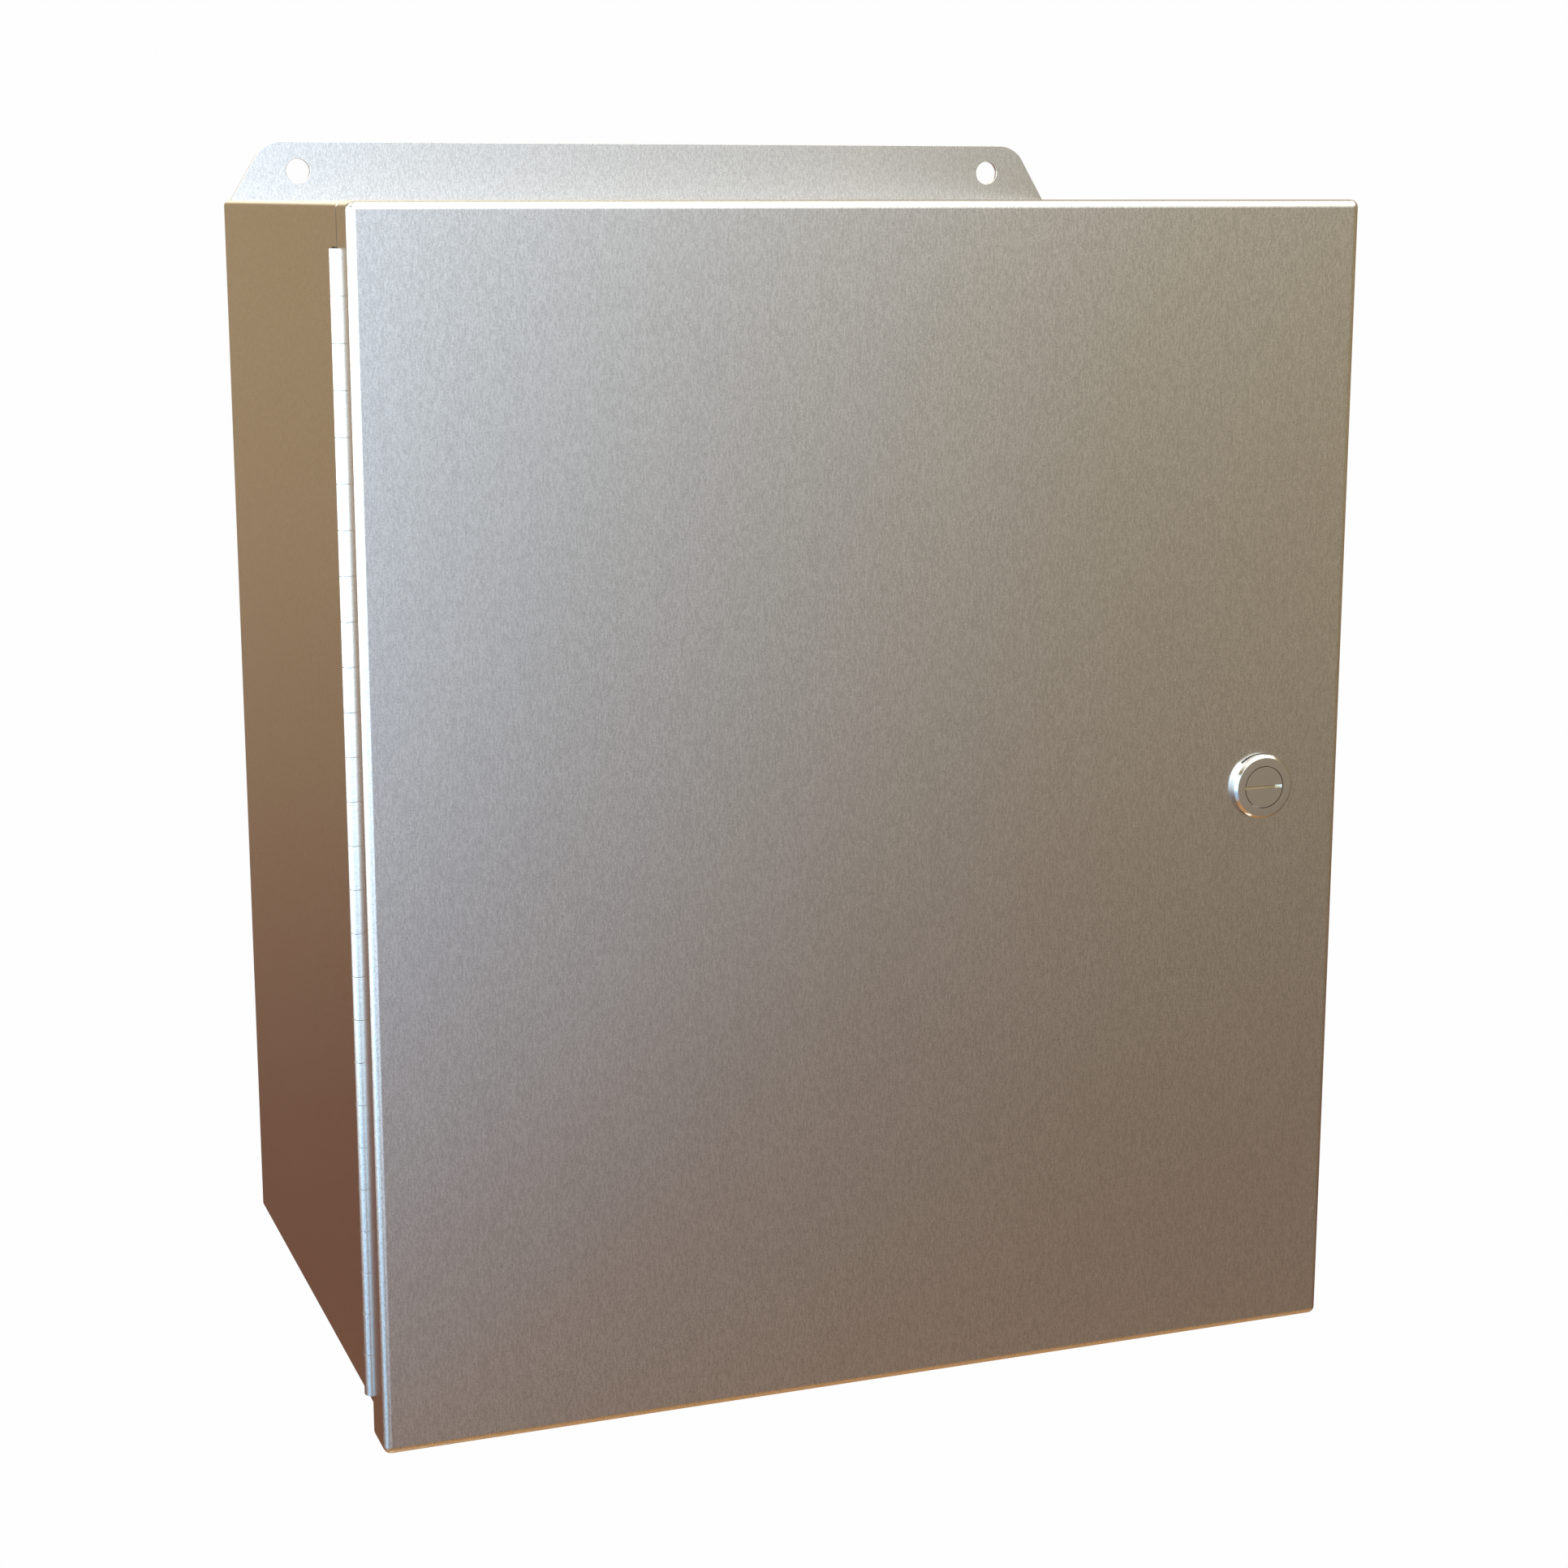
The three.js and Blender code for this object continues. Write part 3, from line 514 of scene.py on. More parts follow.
def coated(name, dark, light, roughness, width, depth, strength):
    """A paint or rubber: not a metal, with a dimpled skin of that width and depth."""
    material = bpy.data.materials.new(name)
    graph = Graph(material)
    place = graph.node("ShaderNodeTexCoord", {}, {}, "Object")
    dimple = cloud(graph, place, width)
    wide = cloud(graph, place, 12 * width)
    colour = graph.mix(dimple * 0.5 + wide * 0.5, dark, light)
    bump = graph.node("ShaderNodeBump", {},
                      {"Strength": strength, "Distance": depth, "Height": dimple}, "Normal")
    shader = graph.node("ShaderNodeBsdfPrincipled", {}, {
        "Base Color": colour, "Roughness": roughness + (wide - 0.5) * 0.1, "Normal": bump})
    graph.node("ShaderNodeOutputMaterial", {}, {"Surface": shader})
    return material


FACE_ROOM = 0.1 * MM
latch_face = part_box("latch_core")[0].y - FACE_ROOM
latch_chrome = plated("latch_chrome", (0.62, 0.61, 0.59), (0.70, 0.69, 0.67), 0.07, 0.03,
                      latch_face)
# The core's darker brown behind its satin front is painted shade, standing for the shade in its
# slot.
core_painted_shade = plated("latch_core_painted_shade", (0.42, 0.37, 0.26), (0.48, 0.43, 0.32), 0.2, 0.03,
                    latch_face)
zinc_plate = plated("zinc_plate", (0.60, 0.62, 0.64), (0.74, 0.75, 0.76), 0.34, 0.16)
seal_rubber = coated("seal_rubber", (0.012, 0.012, 0.013), (0.035, 0.035, 0.036), 0.72,
                     width=0.6 * MM, depth=0.05 * MM, strength=0.5)
panel_paint = coated("white_powder_coat", (0.74, 0.74, 0.72), (0.80, 0.80, 0.78), 0.38,
                     width=1.1 * MM, depth=0.05 * MM, strength=0.35)
print("plating, rubber and powder coat made")

# %% [markdown]
# ## Handing a piece over
# A finished piece gets smooth shading that stops at real corners, its material and the body that it
# moves with, and the plain solids that it stands for are hidden.

# %% finishing a piece
def hand_over(piece, material, slot, body, *nodes, corner=35):
    pick(piece)
    bpy.ops.object.shade_smooth_by_angle(angle=radians(corner))
    apply_modifier(piece, "WEIGHTED_NORMAL", keep_sharp=True)
    piece.data.materials.clear()
    piece.data.materials.append(material)
    for face in piece.data.polygons:
        face.material_index = 0
    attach(piece, body)
    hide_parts(*nodes)
    print(f"{piece.name}: {len(piece.data.polygons)} faces, on {body}")


# %% [markdown]
# ## The body
# The real body is one wrapper sheet folded round the back and sides, with a top and a bottom
# welded in and the seams ground smooth, so nothing shows where they meet. Three separate plates
# would show joints that a welded box doesn't have, so it is modelled as one skin. The outside is
# a block whose front is stepped in at the left and the top; the inside is the same block, one
# sheet thickness smaller, and is cut out of it. The folds are rounded before the cut.

# %% places of the body
SHEET = 1.5 * MM
REAR_FOLD, REAR_STEPS = 2.5 * MM, 6
FOLD, FOLD_STEPS = 1.2 * MM, 4
TOP_FOLD, TOP_STEPS = 1.9 * MM, 5
RIM_WIDTH = 8 * MM
SEAL_OVERHANG = 0.25 * MM
SHOULDER_STEP = 0.5 * MM

back_low, back_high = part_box("back_and_sides")
left, right, rim_front = back_low.x, back_high.x, back_low.y
bottom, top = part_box("bottom_wall")[0].z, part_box("top_wall")[1].z
door_low, door_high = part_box("door_shell")
shoulder = door_high.y + SHOULDER_STEP
rim_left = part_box("hinge_body_leaf")[1].x
rim_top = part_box("door_gasket")[1].z - SEAL_OVERHANG
print(f"body {right - left:.4f} wide, {top - bottom:.4f} high, {-rim_front:.4f} deep")


# %% the block with a stepped front
def stepped_block(name, inset):
    x0, x1, z0 = left + inset, right - inset, bottom + inset
    step_x, step_z = rim_left + inset, rim_top - inset
    front, step, back = rim_front + inset, shoulder + inset, -inset
    piece = block(name, (step_x, front, z0), (x1, back, step_z))
    with editing(piece, "FACE") as mesh:
        bpy.ops.mesh.select_all(action="SELECT")
        bpy.ops.mesh.bisect(plane_co=(0, step, 0), plane_no=(0, 1, 0))
        bpy.ops.mesh.select_all(action="DESELECT")
        behind = lambda face: face.calc_center_median().y > step
        choose(piece, mesh.faces, lambda face: face.normal.x < -FACING and behind(face))
        bpy.ops.mesh.extrude_region_move(TRANSFORM_OT_translate={"value": (x0 - step_x, 0, 0)})
        bpy.ops.mesh.select_all(action="DESELECT")
        mesh = bmesh.from_edit_mesh(piece.data)
        mesh.faces.ensure_lookup_table()
        choose(piece, mesh.faces, lambda face: face.normal.z > FACING and behind(face))
        bpy.ops.mesh.extrude_region_move(
            TRANSFORM_OT_translate={"value": (0, 0, top - inset - step_z)})
        bpy.ops.mesh.select_all(action="SELECT")
        bpy.ops.mesh.dissolve_limited(angle_limit=radians(1))
    return piece


body = stepped_block("welded_body", 0)
print("stepped block:", len(body.data.polygons), "faces")

# %% [markdown]
# ### The folds
# Sheet can't be folded sharp, so each edge gets the radius of its fold. The top fold is wider than
# the corner that it turns round at the right, so its last rings of points would cross over there;
# each of them is gathered in one point.

# %% rounding the folds
folds = round_edges(body, REAR_FOLD, REAR_STEPS, {"x": left, "y": 0}, {"x": right, "y": 0})
folds += round_edges(
    body, FOLD, FOLD_STEPS, {"x": right, "y": rim_front}, {"x": right, "y": shoulder},
    {"x": right, "z": rim_top}, {"x": rim_left, "y": rim_front}, {"y": rim_front, "z": rim_top},
    {"x": rim_left, "z": rim_top}, {"z": bottom})
folds += round_edges(body, TOP_FOLD, TOP_STEPS, {"z": top})
print("folds rounded:", folds)


GATHER_ROOM = 0.1 * MM


def gather(piece, place, reach):
    """Draws the mesh's points within reach of a place together on that place."""
    with editing(piece, "VERT") as mesh:
        choose(piece, mesh.verts, lambda point: (point.co - Vector(place)).length < reach)
        bpy.ops.transform.resize(value=(0, 0, 0), center_override=place)
        bpy.ops.mesh.remove_doubles(threshold=TOUCH)


for ring in (TOP_STEPS - 1, TOP_STEPS):
    turn = ring / TOP_STEPS * pi / 2
    inward, fall = TOP_FOLD * (1 - cos(turn)), TOP_FOLD * (1 - sin(turn))
    gather(body, (right - inward, shoulder + inward, top - fall), inward - FOLD + GATHER_ROOM)

# %% [markdown]
# ### The hinge pocket, the cavity and the mouth
# Behind the hinge's barrel the left shoulder is set back further, so that the knuckles can turn.
# The pocket is cut from the outside, and the same pocket, one sheet bigger, is kept out of
# the inside, which leaves an even wall between them. The mouth is cut last and leaves a rim.

# %% pocket, cavity and mouth
POCKET_DEPTH = 6.5 * MM
INNER_STEPS = 4
POCKET_CLEARANCE = 0.35 * MM
hinge_low, hinge_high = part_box("hinge_pin")
pocket_bottom, pocket_top = hinge_low.z - POCKET_CLEARANCE, hinge_high.z + POCKET_CLEARANCE
OUTSIDE = 10 * MM


def pocket(name, grown):
    return block(name, (left - OUTSIDE, shoulder - OUTSIDE, pocket_bottom - grown),
                 (rim_left + grown, shoulder + POCKET_DEPTH + grown, pocket_top + grown))


combine(body, pocket("pocket", 0), "DIFFERENCE")
cavity = stepped_block("cavity", SHEET)
round_edges(cavity, REAR_FOLD - SHEET, INNER_STEPS, {"x": left + SHEET, "y": -SHEET},
            {"x": right - SHEET, "y": -SHEET})
combine(cavity, pocket("pocket_wall", SHEET), "DIFFERENCE")
combine(body, cavity, "DIFFERENCE")
mouth = block("mouth", (rim_left + RIM_WIDTH, rim_front - SHEET, bottom + RIM_WIDTH),
              (right - RIM_WIDTH, rim_front + 2 * SHEET, rim_top - RIM_WIDTH))
combine(body, mouth, "DIFFERENCE")
print("body hollowed:", len(body.data.polygons), "faces")

# %% [markdown]
# ### The mounting flanges
# The back sheet runs on above and below the box, with sloping ends, generous corners and a hole
# for a bolt near each end. A flange is a strip whose far edge is pulled out and narrowed.

# %% flanges
FLANGE_RELIEF = 2.5 * MM
FLANGE_SLOPE = radians(59)
FLANGE_CORNER, FLANGE_STEPS = 9.5 * MM, 12
BOLT_SPACING = 247.5 * MM
BOLT_RISE = 9.375 * MM
BOLT_HOLE = 3.95 * MM
EDGE_BREAK = 0.15 * MM


def flange(name, side):
    """side is 1 for the flange above the box and -1 for the one below."""
    foot = right - FLANGE_RELIEF
    reach = back_high.z - top
    tip = foot - reach / tan(FLANGE_SLOPE)
    edge, tip_z = side * top, side * back_high.z
    piece = block(name, (-foot, -SHEET, min(edge, edge - side * SHEET)),
                  (foot, 0, max(edge, edge - side * SHEET)))
    with editing(piece, "FACE") as mesh:
        choose(piece, mesh.faces, lambda face: lies_at(face, z=edge))
        bpy.ops.mesh.extrude_region_move(TRANSFORM_OT_translate={"value": (0, 0, side * reach)})
        bpy.ops.transform.resize(value=(tip / foot, 1, 1), center_override=(0, 0, tip_z))
    half_corner = (pi - FLANGE_SLOPE) / 2
    round_edges(piece, FLANGE_CORNER / tan(half_corner), FLANGE_STEPS,
                {"x": tip, "z": tip_z}, {"x": -tip, "z": tip_z})
    for x in (-BOLT_SPACING / 2, BOLT_SPACING / 2):
        centre = (x, 0, side * (top + BOLT_RISE))
        hole = turned("hole", centre, [(BOLT_HOLE, -3 * SHEET), (BOLT_HOLE, 2 * SHEET)])
        combine(piece, hole, "DIFFERENCE")
    break_edges(piece, EDGE_BREAK)
    return piece


combine(body, flange("top_flange", 1), "UNION")
combine(body, flange("bottom_flange", -1), "UNION")
hand_over(body, satin_steel, "stainless_sheet", "enclosure",
          "back_and_sides", "top_wall", "bottom_wall")

# %% [markdown]
# ## The door
# A shallow pan: a front with four flanges folded back, its corners welded and ground. The pan
# starts as a solid block with rounded front edges and corners. Its back face is taken away, and
# what is left gets the thickness of the sheet towards the inside, so each fold has an inner
# radius too. The latch's hole is round with two flats, which keep the latch from turning.

# %% door pan
DOOR_FOLD, DOOR_STEPS = 2.4 * MM, 7
LATCH_HOLE = 8.25 * MM
LATCH_HOLE_FLAT = 7.75 * MM

door = block("door_pan", door_low, door_high)
corner_edges = [{"x": x, "z": z} for x in (door_low.x, door_high.x)
                for z in (door_low.z, door_high.z)]
round_edges(door, DOOR_FOLD, DOOR_STEPS, {"y": door_low.y}, *corner_edges)
with editing(door, "FACE") as mesh:
    choose(door, mesh.faces, lambda face: lies_at(face, y=door_high.y))
    bpy.ops.mesh.delete(type="FACE")
apply_modifier(door, "SOLIDIFY", thickness=SHEET, offset=-1, use_even_offset=True,
               use_quality_normals=True)

joint_places = {joint["name"]: Vector(joint["pos_m"]) for joint in frame["joints"]}
latch_foot = joint_places["latch_turn"]
hole = turned("latch_hole", latch_foot, [(LATCH_HOLE, -3 * SHEET), (LATCH_HOLE, 3 * SHEET)])
flats = block("flats", latch_foot - Vector((LATCH_HOLE * 2, 4 * SHEET, LATCH_HOLE_FLAT)),
              latch_foot + Vector((LATCH_HOLE * 2, 4 * SHEET, LATCH_HOLE_FLAT)))
combine(hole, flats, "INTERSECT")
combine(door, hole, "DIFFERENCE")
hand_over(door, satin_steel, "stainless_sheet", "door", "door_shell")

# %% [markdown]
# ## The seal in the door
# A bead of foam runs round the inside of the door and closes on the body's rim. It stands on a
# flat foot and its free side is rounded. It could be cut out of a block, but that leaves one face
# with a hole in it, which shades badly. So the block's back and front are inset by the bead's
# width and the two inner faces are bridged, which opens the middle and leaves a clean frame.

# %% door seal
SEAL_WIDTH = 8.5 * MM
SEAL_CORNER, CORNER_STEPS = SEAL_WIDTH + 2 * MM, 10
SEAL_CROWN, CROWN_STEPS = 2 * MM, 5
SQUARE_TURN = 0.5  # the least difference between the normals' y at an edge of the flat top

seal_low, seal_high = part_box("door_gasket")
seal = block("door_seal", seal_low, seal_high)
round_edges(seal, SEAL_CORNER, CORNER_STEPS, *[
    {"x": x, "z": z} for x in (seal_low.x, seal_high.x) for z in (seal_low.z, seal_high.z)])
with editing(seal, "FACE") as mesh:
    choose(seal, mesh.faces, lambda face: abs(face.normal.y) > FACING)
    bpy.ops.mesh.inset(thickness=SEAL_WIDTH)
    bpy.ops.mesh.bridge_edge_loops()
    bpy.ops.mesh.select_all(action="SELECT")
    bpy.ops.mesh.normals_make_consistent(inside=False)
round_edges(seal, SEAL_CROWN, CROWN_STEPS, wanted=lambda edge: lies_at(edge, y=seal_high.y)
            and len(edge.link_faces) == 2
            and abs(edge.link_faces[0].normal.y - edge.link_faces[1].normal.y) > SQUARE_TURN)
hand_over(seal, seal_rubber, "seal_rubber", "door", "door_gasket")

# %% [markdown]
# ## The hinge
# A continuous hinge is two long strips whose edges are cut into tabs and curled round one pin, by
# turns from each strip. One tab is modelled as the maker bends it: a flat start, a set to one
# side, and a curl round the pin by spinning its edge. It gets its thickness, is repeated up the
# hinge, and is joined to its strip.

# %% curled knuckles
PITCH = 12.7 * MM
KNUCKLE_GAP = 0.14 * MM
CURL_RADIUS = 2.19 * MM
CURL_THICKNESS = 0.98 * MM
CURL_TURN, CURL_STEPS = -radians(302), 28
CURL_BREAK, LEAF_BREAK = 0.05 * MM, 0.1 * MM
SET_LENGTH = 1.8 * MM
ROOT = 0.8 * MM

pin_x, pin_y = joint_places["door_hinge"].xy
hinge_bottom, hinge_top = hinge_low.z, hinge_high.z
knuckles = round((hinge_top - hinge_bottom) / PITCH)


def curled_tabs(name, strip_x, strip_end, first):
    """Every other knuckle from the first, counted from the top."""
    height = PITCH - KNUCKLE_GAP
    z = hinge_top - (first + 0.5) * PITCH
    curl_x = pin_x + CURL_RADIUS
    bpy.ops.object.select_all(action="DESELECT")
    bpy.ops.mesh.primitive_plane_add(size=1, rotation=(0, pi / 2, 0),
                                     location=(strip_x, strip_end - ROOT / 2, z))
    tab = bpy.context.object
    tab.name = name
    tab.scale = (height, ROOT, 1)
    bpy.ops.object.transform_apply(location=True, rotation=True, scale=True)
    with editing(tab) as mesh:
        choose(tab, mesh.edges, lambda edge: lies_at(edge, y=strip_end))
        bpy.ops.mesh.extrude_region_move(
            TRANSFORM_OT_translate={"value": (curl_x - strip_x, SET_LENGTH, 0)})
        bpy.ops.mesh.extrude_region_move(
            TRANSFORM_OT_translate={"value": (0, pin_y - strip_end - SET_LENGTH, 0)})
        bpy.ops.mesh.spin(steps=CURL_STEPS, angle=CURL_TURN, center=(pin_x, pin_y, z),
                          axis=(0, 0, 1))
        bpy.ops.mesh.select_all(action="SELECT")
        bpy.ops.mesh.remove_doubles(threshold=TOUCH)
        bpy.ops.mesh.normals_make_consistent(inside=False)
    apply_modifier(tab, "SOLIDIFY", thickness=CURL_THICKNESS, offset=0, use_even_offset=True)
    break_edges(tab, CURL_BREAK)
    apply_modifier(tab, "ARRAY", count=knuckles // 2, use_relative_offset=False,
                   use_constant_offset=True, constant_offset_displace=(0, 0, -2 * PITCH))
    return tab


def hinge_leaf(name, low, high, first):
    leaf = block(name, low, high)
    break_edges(leaf, LEAF_BREAK)
    tabs = curled_tabs("tabs", (low[0] + high[0]) / 2, high[1], first)
    combine(leaf, tabs, "UNION")
    return leaf


print(knuckles, "knuckles, each", round((PITCH - KNUCKLE_GAP) / MM, 2), "mm high")

# %% the hinge's two leaves
LEAF = 1.25 * MM
LEAF_TO_PIN = 3.25 * MM

leaf_end = pin_y - LEAF_TO_PIN
body_leaf_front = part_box("hinge_body_leaf")[0].y
door_leaf_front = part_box("hinge_door_leaf")[0].y
door_leaf_left = door_low.x + SHEET
body_leaf = hinge_leaf("curled_body_leaf", (rim_left - LEAF, body_leaf_front, hinge_bottom),
                       (rim_left, leaf_end, hinge_top), 0)
hand_over(body_leaf, hinge_steel, "hinge_stainless", "enclosure", "hinge_body_leaf")
door_leaf = hinge_leaf("curled_door_leaf", (door_leaf_left, door_leaf_front, hinge_bottom),
                       (door_leaf_left + LEAF, leaf_end, hinge_top), 1)
hand_over(door_leaf, hinge_steel, "hinge_stainless", "door", "hinge_door_leaf")

# %% hinge pin
PIN_RADIUS = 1.5 * MM
PIN_DOME = 0.3 * MM

length = hinge_top - hinge_bottom
pin = turned("hinge_pin_domed", (0, 0, 0), [
    (PIN_RADIUS - PIN_DOME, 0), (PIN_RADIUS, PIN_DOME), (PIN_RADIUS, length - PIN_DOME),
    (PIN_RADIUS - PIN_DOME, length)], SMALL_ROUND)
pin.rotation_euler = (pi / 2, 0, 0)
pin.location = (pin_x, pin_y, hinge_bottom)
pick(pin)
bpy.ops.object.transform_apply(location=True, rotation=True, scale=True)
hand_over(pin, hinge_steel, "hinge_stainless", "enclosure", "hinge_pin")

# %% [markdown]
# ## Studs, washers and nuts
# Four studs with collars carry the inner panel, and one small stud each on the body and the door
# takes an earth lead. A nut is where a hexagonal bar and a turned cone-ended blank agree, with a
# plain hole through it, countersunk at both ends. One of each kind is modelled and then copied to
# its other places.

# %% nuts and copies
# The cone's foot as a share of half the flats, the blank's two radii as shares of half the flats
# and of half the corners, and its slope.
NUT_FOOT, NUT_INNER, NUT_OUTER, NUT_SLOPE = 0.94, 0.9, 1.02, radians(30)
NUT_LEAD = 0.4 * MM
PAST = 1 * MM  # how far a cutter reaches past what it cuts


def hex_nut(name, foot, flats, start, end, hole):
    """A nut about an axis along y, with a flat towards x."""
    corner = flats / sqrt(3)
    low, high = min(start, end), max(start, end)
    bpy.ops.object.select_all(action="DESELECT")
    bpy.ops.mesh.primitive_cylinder_add(
        vertices=6, radius=corner, depth=high - low, rotation=(pi / 2, 0, 0),
        location=Vector(foot) + Vector((0, (low + high) / 2, 0)))
    nut = bpy.context.object
    nut.name = name
    bpy.ops.object.transform_apply(location=True, rotation=True, scale=True)
    foot_radius, inner, outer = flats / 2 * NUT_FOOT, flats / 2 * NUT_INNER, corner * NUT_OUTER
    inner_rise, outer_rise = ((radius - foot_radius) * tan(NUT_SLOPE) for radius in (inner, outer))
    blank = turned("blank", foot, [
        (inner, low + inner_rise), (outer, low + outer_rise), (outer, high - outer_rise),
        (inner, high - inner_rise)])
    combine(nut, blank, "INTERSECT")
    bore = turned("bore", foot, [
        (hole + NUT_LEAD + PAST, low - PAST), (hole, low + NUT_LEAD), (hole, high - NUT_LEAD),
        (hole + NUT_LEAD + PAST, high + PAST)], SMALL_ROUND)
    combine(nut, bore, "DIFFERENCE")
    return nut


def place_copy(piece, name, place, turn=0):
    """A copy with its own mesh, turned about z and moved to its place."""
    copy = piece.copy()
    copy.data = piece.data.copy()
    copy.name = name
    bpy.context.collection.objects.link(copy)
    copy.rotation_euler = (0, 0, turn)
    copy.location = place
    pick(copy)
    bpy.ops.object.transform_apply(location=True, rotation=True, scale=True)
    return copy


print("a nut's corners slope by", round(NUT_SLOPE / radians(1)), "degrees")

# %% studs for the panel and for the earth leads
# Sizes in millimetres; thread and washer are radii.
PANEL_SET = dict(thread=4, pitch=1.25, washer=8.5, washer_thick=1.5, flats=13, nut=6.5, length=28.5)
EARTH_SET = dict(thread=3, pitch=1.0, washer=6, washer_thick=1.25, flats=10, nut=5, length=14)
STUD_LEAD, STUD_TIP = 0.5 * MM, 0.6
COLLAR, COLLAR_EDGE = 7 * MM, 0.4 * MM
WASHER_EDGE = 0.25 * MM
HOLE_CLEARANCE = 0.4 * MM


def stud_set(kind, seat, collar_length):
    """The stud, washer and nut on the y axis, pointing at -y from y = 0."""
    size = {name: value * MM for name, value in kind.items()}
    thread, end = size["thread"], -size["length"]
    profile = [(thread - size["pitch"] * STUD_TIP, end)]
    profile += threaded(thread, end + STUD_LEAD, -collar_length, size["pitch"])
    if collar_length:
        profile += [(COLLAR - COLLAR_EDGE, -collar_length), (COLLAR, -collar_length + COLLAR_EDGE),
                    (COLLAR, -COLLAR_EDGE), (COLLAR, 0)]
    stud = turned("stud", (0, 0, 0), profile, SMALL_ROUND)
    washer_end = seat - size["washer_thick"]
    hole = thread + HOLE_CLEARANCE
    washer = turned_ring("washer", (0, 0, 0), hole, size["washer"], washer_end, seat,
                         WASHER_EDGE)
    nut = hex_nut("nut", (0, 0, 0), size["flats"], washer_end - size["nut"], washer_end, hole)
    return stud, washer, nut


def place_set(makings, label, place, turn, body_name):
    """Copies a stud, a washer and a nut to a place; # in the label stands for each one's name."""
    for made, part in zip(makings, ("stud", "washer", "nut")):
        node = label.replace("#", part)
        copy = place_copy(made, node + "_turned", place, turn)
        hand_over(copy, zinc_plate, "zinc_hardware", body_name, node)


def middle(node):
    """The centre of a plain solid's box, as x, y and z."""
    low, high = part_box(node)
    return (low.x + high.x) / 2, (low.y + high.y) / 2, (low.z + high.z) / 2


# %% studs in their places
CORNERS = ("top_left", "top_right", "bottom_left", "bottom_right")

panel_low, panel_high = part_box("inner_panel")
collar_length = -SHEET - panel_high.y
panel_makings = stud_set(PANEL_SET, panel_low.y + SHEET, collar_length)
for corner in CORNERS:
    x, _, z = middle("panel_stud_" + corner)
    place_set(panel_makings, "panel_#_" + corner, (x, -SHEET, z), 0, "enclosure")

earth_makings = stud_set(EARTH_SET, 0, 0)
_, y, z = middle("body_ground_stud")
place_set(earth_makings, "body_ground_#", (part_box("body_ground_stud")[0].x, y, z), pi / 2,
          "enclosure")
x, _, z = middle("door_ground_stud")
place_set(earth_makings, "door_ground_#", (x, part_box("door_ground_stud")[0].y, z), pi, "door")
for making in panel_makings + earth_makings:
    bpy.data.objects.remove(making)

# %% [markdown]
# ## The inner panel
# A flat steel plate on the four collar studs, on which the electrician mounts everything. It is
# cut with rounded corners, drilled, its edges are broken so that they don't cut hands, and then
# it is powder coated.

# %% inner panel
PANEL_CORNER, PANEL_STEPS = 4 * MM, 8
PANEL_EDGE, PANEL_EDGE_STEPS = 0.4 * MM, 3

panel = block("coated_panel", panel_low, panel_high)
round_edges(panel, PANEL_CORNER, PANEL_STEPS, *[
    {"x": x, "z": z} for x in (panel_low.x, panel_high.x) for z in (panel_low.z, panel_high.z)])
break_edges(panel, PANEL_EDGE, segments=PANEL_EDGE_STEPS)
hole = PANEL_SET["thread"] * MM + HOLE_CLEARANCE
for corner in CORNERS:
    x, _, z = middle("panel_stud_" + corner)
    drill = turned("drill", (x, 0, z), [(hole, panel_low.y - SHEET), (hole, panel_high.y + SHEET)],
                   SMALL_ROUND)
    combine(panel, drill, "DIFFERENCE")
hand_over(panel, panel_paint, "panel_paint", "enclosure", "inner_panel")

# %% [markdown]
# ## The latch
# A round head with a bright chamfer stands on a thin seal. Inside it sits the core that turns,
# flush but for a fine ring of shadow, with one straight slot. Behind the door a big thin nut
# holds the barrel, and the core's square end carries a cam that swings behind the rim. All of
# it is lathe work, and the flats are sawn off afterwards. Heights are counted from the door's
# front, towards the back.

# %% latch housing and its fixings
HEAD, HEAD_FRONT, CHAMFER = 10 * MM, -2.75 * MM, 0.8 * MM
SKIRT = 9.6 * MM
BARREL, BARREL_END, BARREL_FLAT = 8 * MM, 8 * MM, 7.5 * MM
BARREL_PITCH, BARREL_TIP = 1.0 * MM, 1 * MM
BORE, FLOOR_AT, SPINDLE = 6.62 * MM, 4.5 * MM, 4.1 * MM
GAP = 0.25 * MM
SEAL = 0.5 * MM
TINY = 0.04 * MM
LATCH_CREASE = 28

housing = turned("latch_head", latch_foot, [
    (BORE, HEAD_FRONT), (HEAD - CHAMFER - TINY, HEAD_FRONT),
    (HEAD - CHAMFER + TINY, HEAD_FRONT + TINY), (HEAD - TINY, HEAD_FRONT + CHAMFER - TINY),
    (HEAD, HEAD_FRONT + CHAMFER + TINY), (HEAD, -TINY), (SKIRT, -TINY), (SKIRT, -SEAL),
    *threaded(BARREL, -SEAL, BARREL_END - TINY, BARREL_PITCH), (BARREL - BARREL_TIP, BARREL_END),
    (SPINDLE + GAP, BARREL_END), (SPINDLE + GAP, FLOOR_AT), (BORE, FLOOR_AT),
    (BORE, HEAD_FRONT)], FINE_ROUND)
beyond = HEAD * 1.1
for side in (-1, 1):
    z0, z1 = sorted((side * BARREL_FLAT, side * beyond))
    combine(housing, block("flat", latch_foot + Vector((-beyond, -SEAL, z0)),
                           latch_foot + Vector((beyond, BARREL_END + SEAL, z1))), "DIFFERENCE")
hand_over(housing, latch_chrome, "latch_chrome", "door", "latch_housing", corner=LATCH_CREASE)

# %% seal, washer and nut on the latch's barrel
HEAD_SEAL, SEAL_EDGE = HEAD - 0.5 * MM, 0.1 * MM
LOCK_WASHER, LOCK_EDGE = 0.75 * MM, 0.12 * MM
RING_NUT, RING_FLATS = 3.5 * MM, 19 * MM

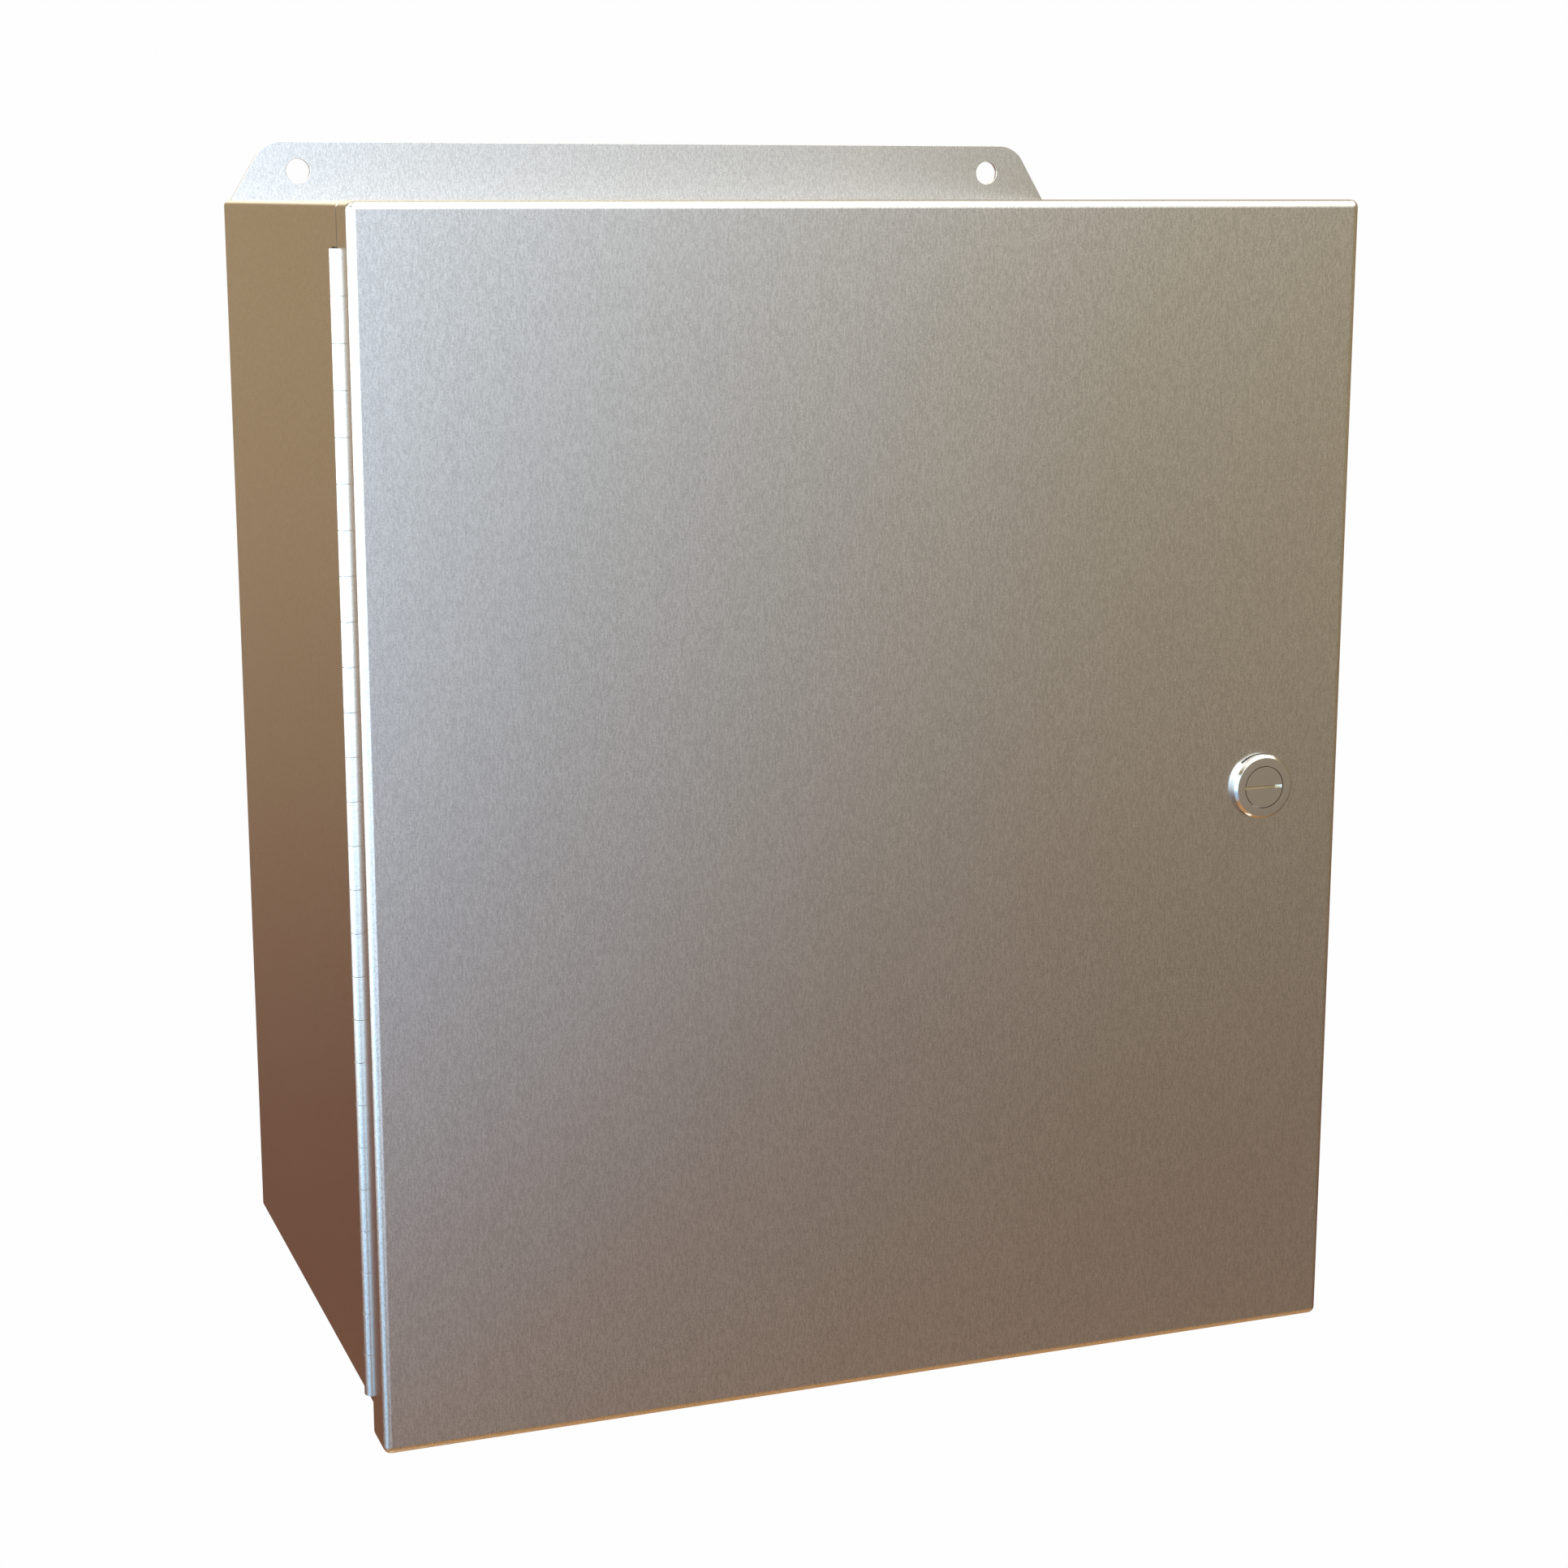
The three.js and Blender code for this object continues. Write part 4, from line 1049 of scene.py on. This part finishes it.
sleeve = BARREL + GAP
latch_seal = turned_ring("latch_head_seal", latch_foot, sleeve, HEAD_SEAL, -SEAL, 0, SEAL_EDGE)
hand_over(latch_seal, seal_rubber, "seal_rubber", "door", "latch_seal")
washer_end = SHEET + LOCK_WASHER
washer = turned_ring("latch_lock_washer", latch_foot, sleeve, HEAD, SHEET, washer_end, LOCK_EDGE)
hand_over(washer, zinc_plate, "zinc_hardware", "door", "latch_washer")
nut = hex_nut("latch_ring_nut", latch_foot, RING_FLATS, washer_end, washer_end + RING_NUT, sleeve)
hand_over(nut, zinc_plate, "zinc_hardware", "door", "latch_nut")

# %% [markdown]
# ### The core and its slot
# The core has a groove for an O-ring, a square for the cam and a thread for the cam's nut. The
# slot is milled straight across and ramps out near its right end, where it catches the light.

# %% latch core, with its square and thread
CORE, CORE_FRONT, CORE_END = 6.4 * MM, -2.72 * MM, 4 * MM
CORE_DIMPLE = 0.4 * MM
GROOVE_START, GROOVE_END, GROOVE = 0.5 * MM, 2.5 * MM, 5 * MM
CAM_FRONT, CAM_THICK = 8.5 * MM, 2.5 * MM
CAM_SQUARE = 6.5 * MM
CAM_THREAD, CAM_END = 2.5 * MM, 16.25 * MM
CAM_PITCH, CAM_LEAD, CAM_TIP = 0.8 * MM, 0.4 * MM, 1.8 * MM

core = turned("latch_core_slotted", latch_foot, [
    (CORE_DIMPLE, CORE_FRONT), (CORE, CORE_FRONT), (CORE, GROOVE_START), (GROOVE, GROOVE_START),
    (GROOVE, GROOVE_END), (CORE, GROOVE_END), (CORE, CORE_END), (SPINDLE, CORE_END),
    (SPINDLE, CAM_FRONT), *threaded(CAM_THREAD, CAM_FRONT, CAM_END - CAM_LEAD, CAM_PITCH),
    (CAM_TIP, CAM_END)], FINE_ROUND)
half = CAM_SQUARE / 2
square = block("square", latch_foot + Vector((-half, BARREL_END + GAP, -half)),
               latch_foot + Vector((half, CAM_FRONT + CAM_THICK - GAP, half)))
combine(core, square, "UNION")
print("core turned:", len(core.data.polygons), "faces")

# %% the core's slot, and the ring in its groove
SLOT_WIDTH, SLOT_DEPTH = 1 * MM, 1.5 * MM
RING_SINK, RING_EDGE = 0.1 * MM, 0.5 * MM

slot_low = latch_foot + Vector((-HEAD, CORE_FRONT - SLOT_DEPTH, -SLOT_WIDTH / 2))
slot_high = latch_foot + Vector((CORE - GAP, CORE_FRONT + SLOT_DEPTH, SLOT_WIDTH / 2))
slot = block("slot", slot_low, slot_high)
with editing(slot) as mesh:
    choose(slot, mesh.edges, lambda edge: lies_at(edge, x=slot_high.x, y=slot_high.y))
    bpy.ops.transform.translate(value=(-SLOT_DEPTH, 0, 0))
    bpy.ops.mesh.select_all(action="DESELECT")
    mesh = bmesh.from_edit_mesh(slot.data)
    choose(slot, mesh.edges, lambda edge: lies_at(edge, x=slot_high.x, y=slot_low.y))
    bpy.ops.transform.translate(value=(SLOT_DEPTH, 0, 0))
combine(core, slot, "DIFFERENCE")
# The core's dark brown inside its slot is painted shade.
hand_over(core, core_painted_shade, "latch_chrome", "latch", "latch_core", corner=LATCH_CREASE)

o_ring = turned_ring("latch_core_o_ring", latch_foot, GROOVE + GAP, CORE - RING_SINK,
                     GROOVE_START + GAP, GROOVE_END - GAP, RING_EDGE)
hand_over(o_ring, seal_rubber, "seal_rubber", "latch", "latch_o_ring")

# %% [markdown]
# ### The cam
# A flat bar that is rounded at its foot, where it turns, and cut to an arc at its reach. A square
# hole fits the core's square, and a washer and a nut hold it on.

# %% cam
CAM_WIDTH, CAM_REACH, CAM_STEPS = 12 * MM, 14.25 * MM, 12
CAM_EDGE, CAM_PLAY = 0.2 * MM, 0.6 * MM

cam_side, cam_foot = CAM_WIDTH / 2, latch_foot.z - CAM_WIDTH / 2
cam = block("latch_cam_plate", latch_foot + Vector((-cam_side, CAM_FRONT, -cam_side)),
            latch_foot + Vector((cam_side, CAM_FRONT + CAM_THICK, CAM_REACH + SHEET)))
round_edges(cam, cam_side - TINY, CAM_STEPS, {"x": latch_foot.x - cam_side, "z": cam_foot},
            {"x": latch_foot.x + cam_side, "z": cam_foot})
reach = turned("reach", latch_foot, [(CAM_REACH, CAM_FRONT - SHEET),
                                     (CAM_REACH, CAM_FRONT + CAM_THICK + SHEET)])
combine(cam, reach, "INTERSECT")
break_edges(cam, CAM_EDGE)
half = (CAM_SQUARE + CAM_PLAY) / 2
combine(cam, block("square_hole", latch_foot + Vector((-half, CAM_FRONT - SHEET, -half)),
                   latch_foot + Vector((half, CAM_FRONT + CAM_THICK + SHEET, half))), "DIFFERENCE")
hand_over(cam, zinc_plate, "zinc_hardware", "latch", "latch_cam")

# %% the cam's washer and nut
CAM_WASHER, CAM_WASHER_THICK, CAM_WASHER_EDGE = 5 * MM, 1 * MM, 0.15 * MM
CAM_NUT, CAM_FLATS = 3.5 * MM, 8 * MM

cam_end = CAM_FRONT + CAM_THICK
cam_washer_end = cam_end + CAM_WASHER_THICK
hole = CAM_THREAD + HOLE_CLEARANCE
cam_washer = turned_ring("latch_cam_flat_washer", latch_foot, hole, CAM_WASHER, cam_end,
                         cam_washer_end, CAM_WASHER_EDGE)
hand_over(cam_washer, zinc_plate, "zinc_hardware", "latch", "latch_cam_washer")
cam_nut = hex_nut("latch_cam_hex_nut", latch_foot, CAM_FLATS, cam_washer_end,
                  cam_washer_end + CAM_NUT, hole)
hand_over(cam_nut, zinc_plate, "zinc_hardware", "latch", "latch_cam_nut")
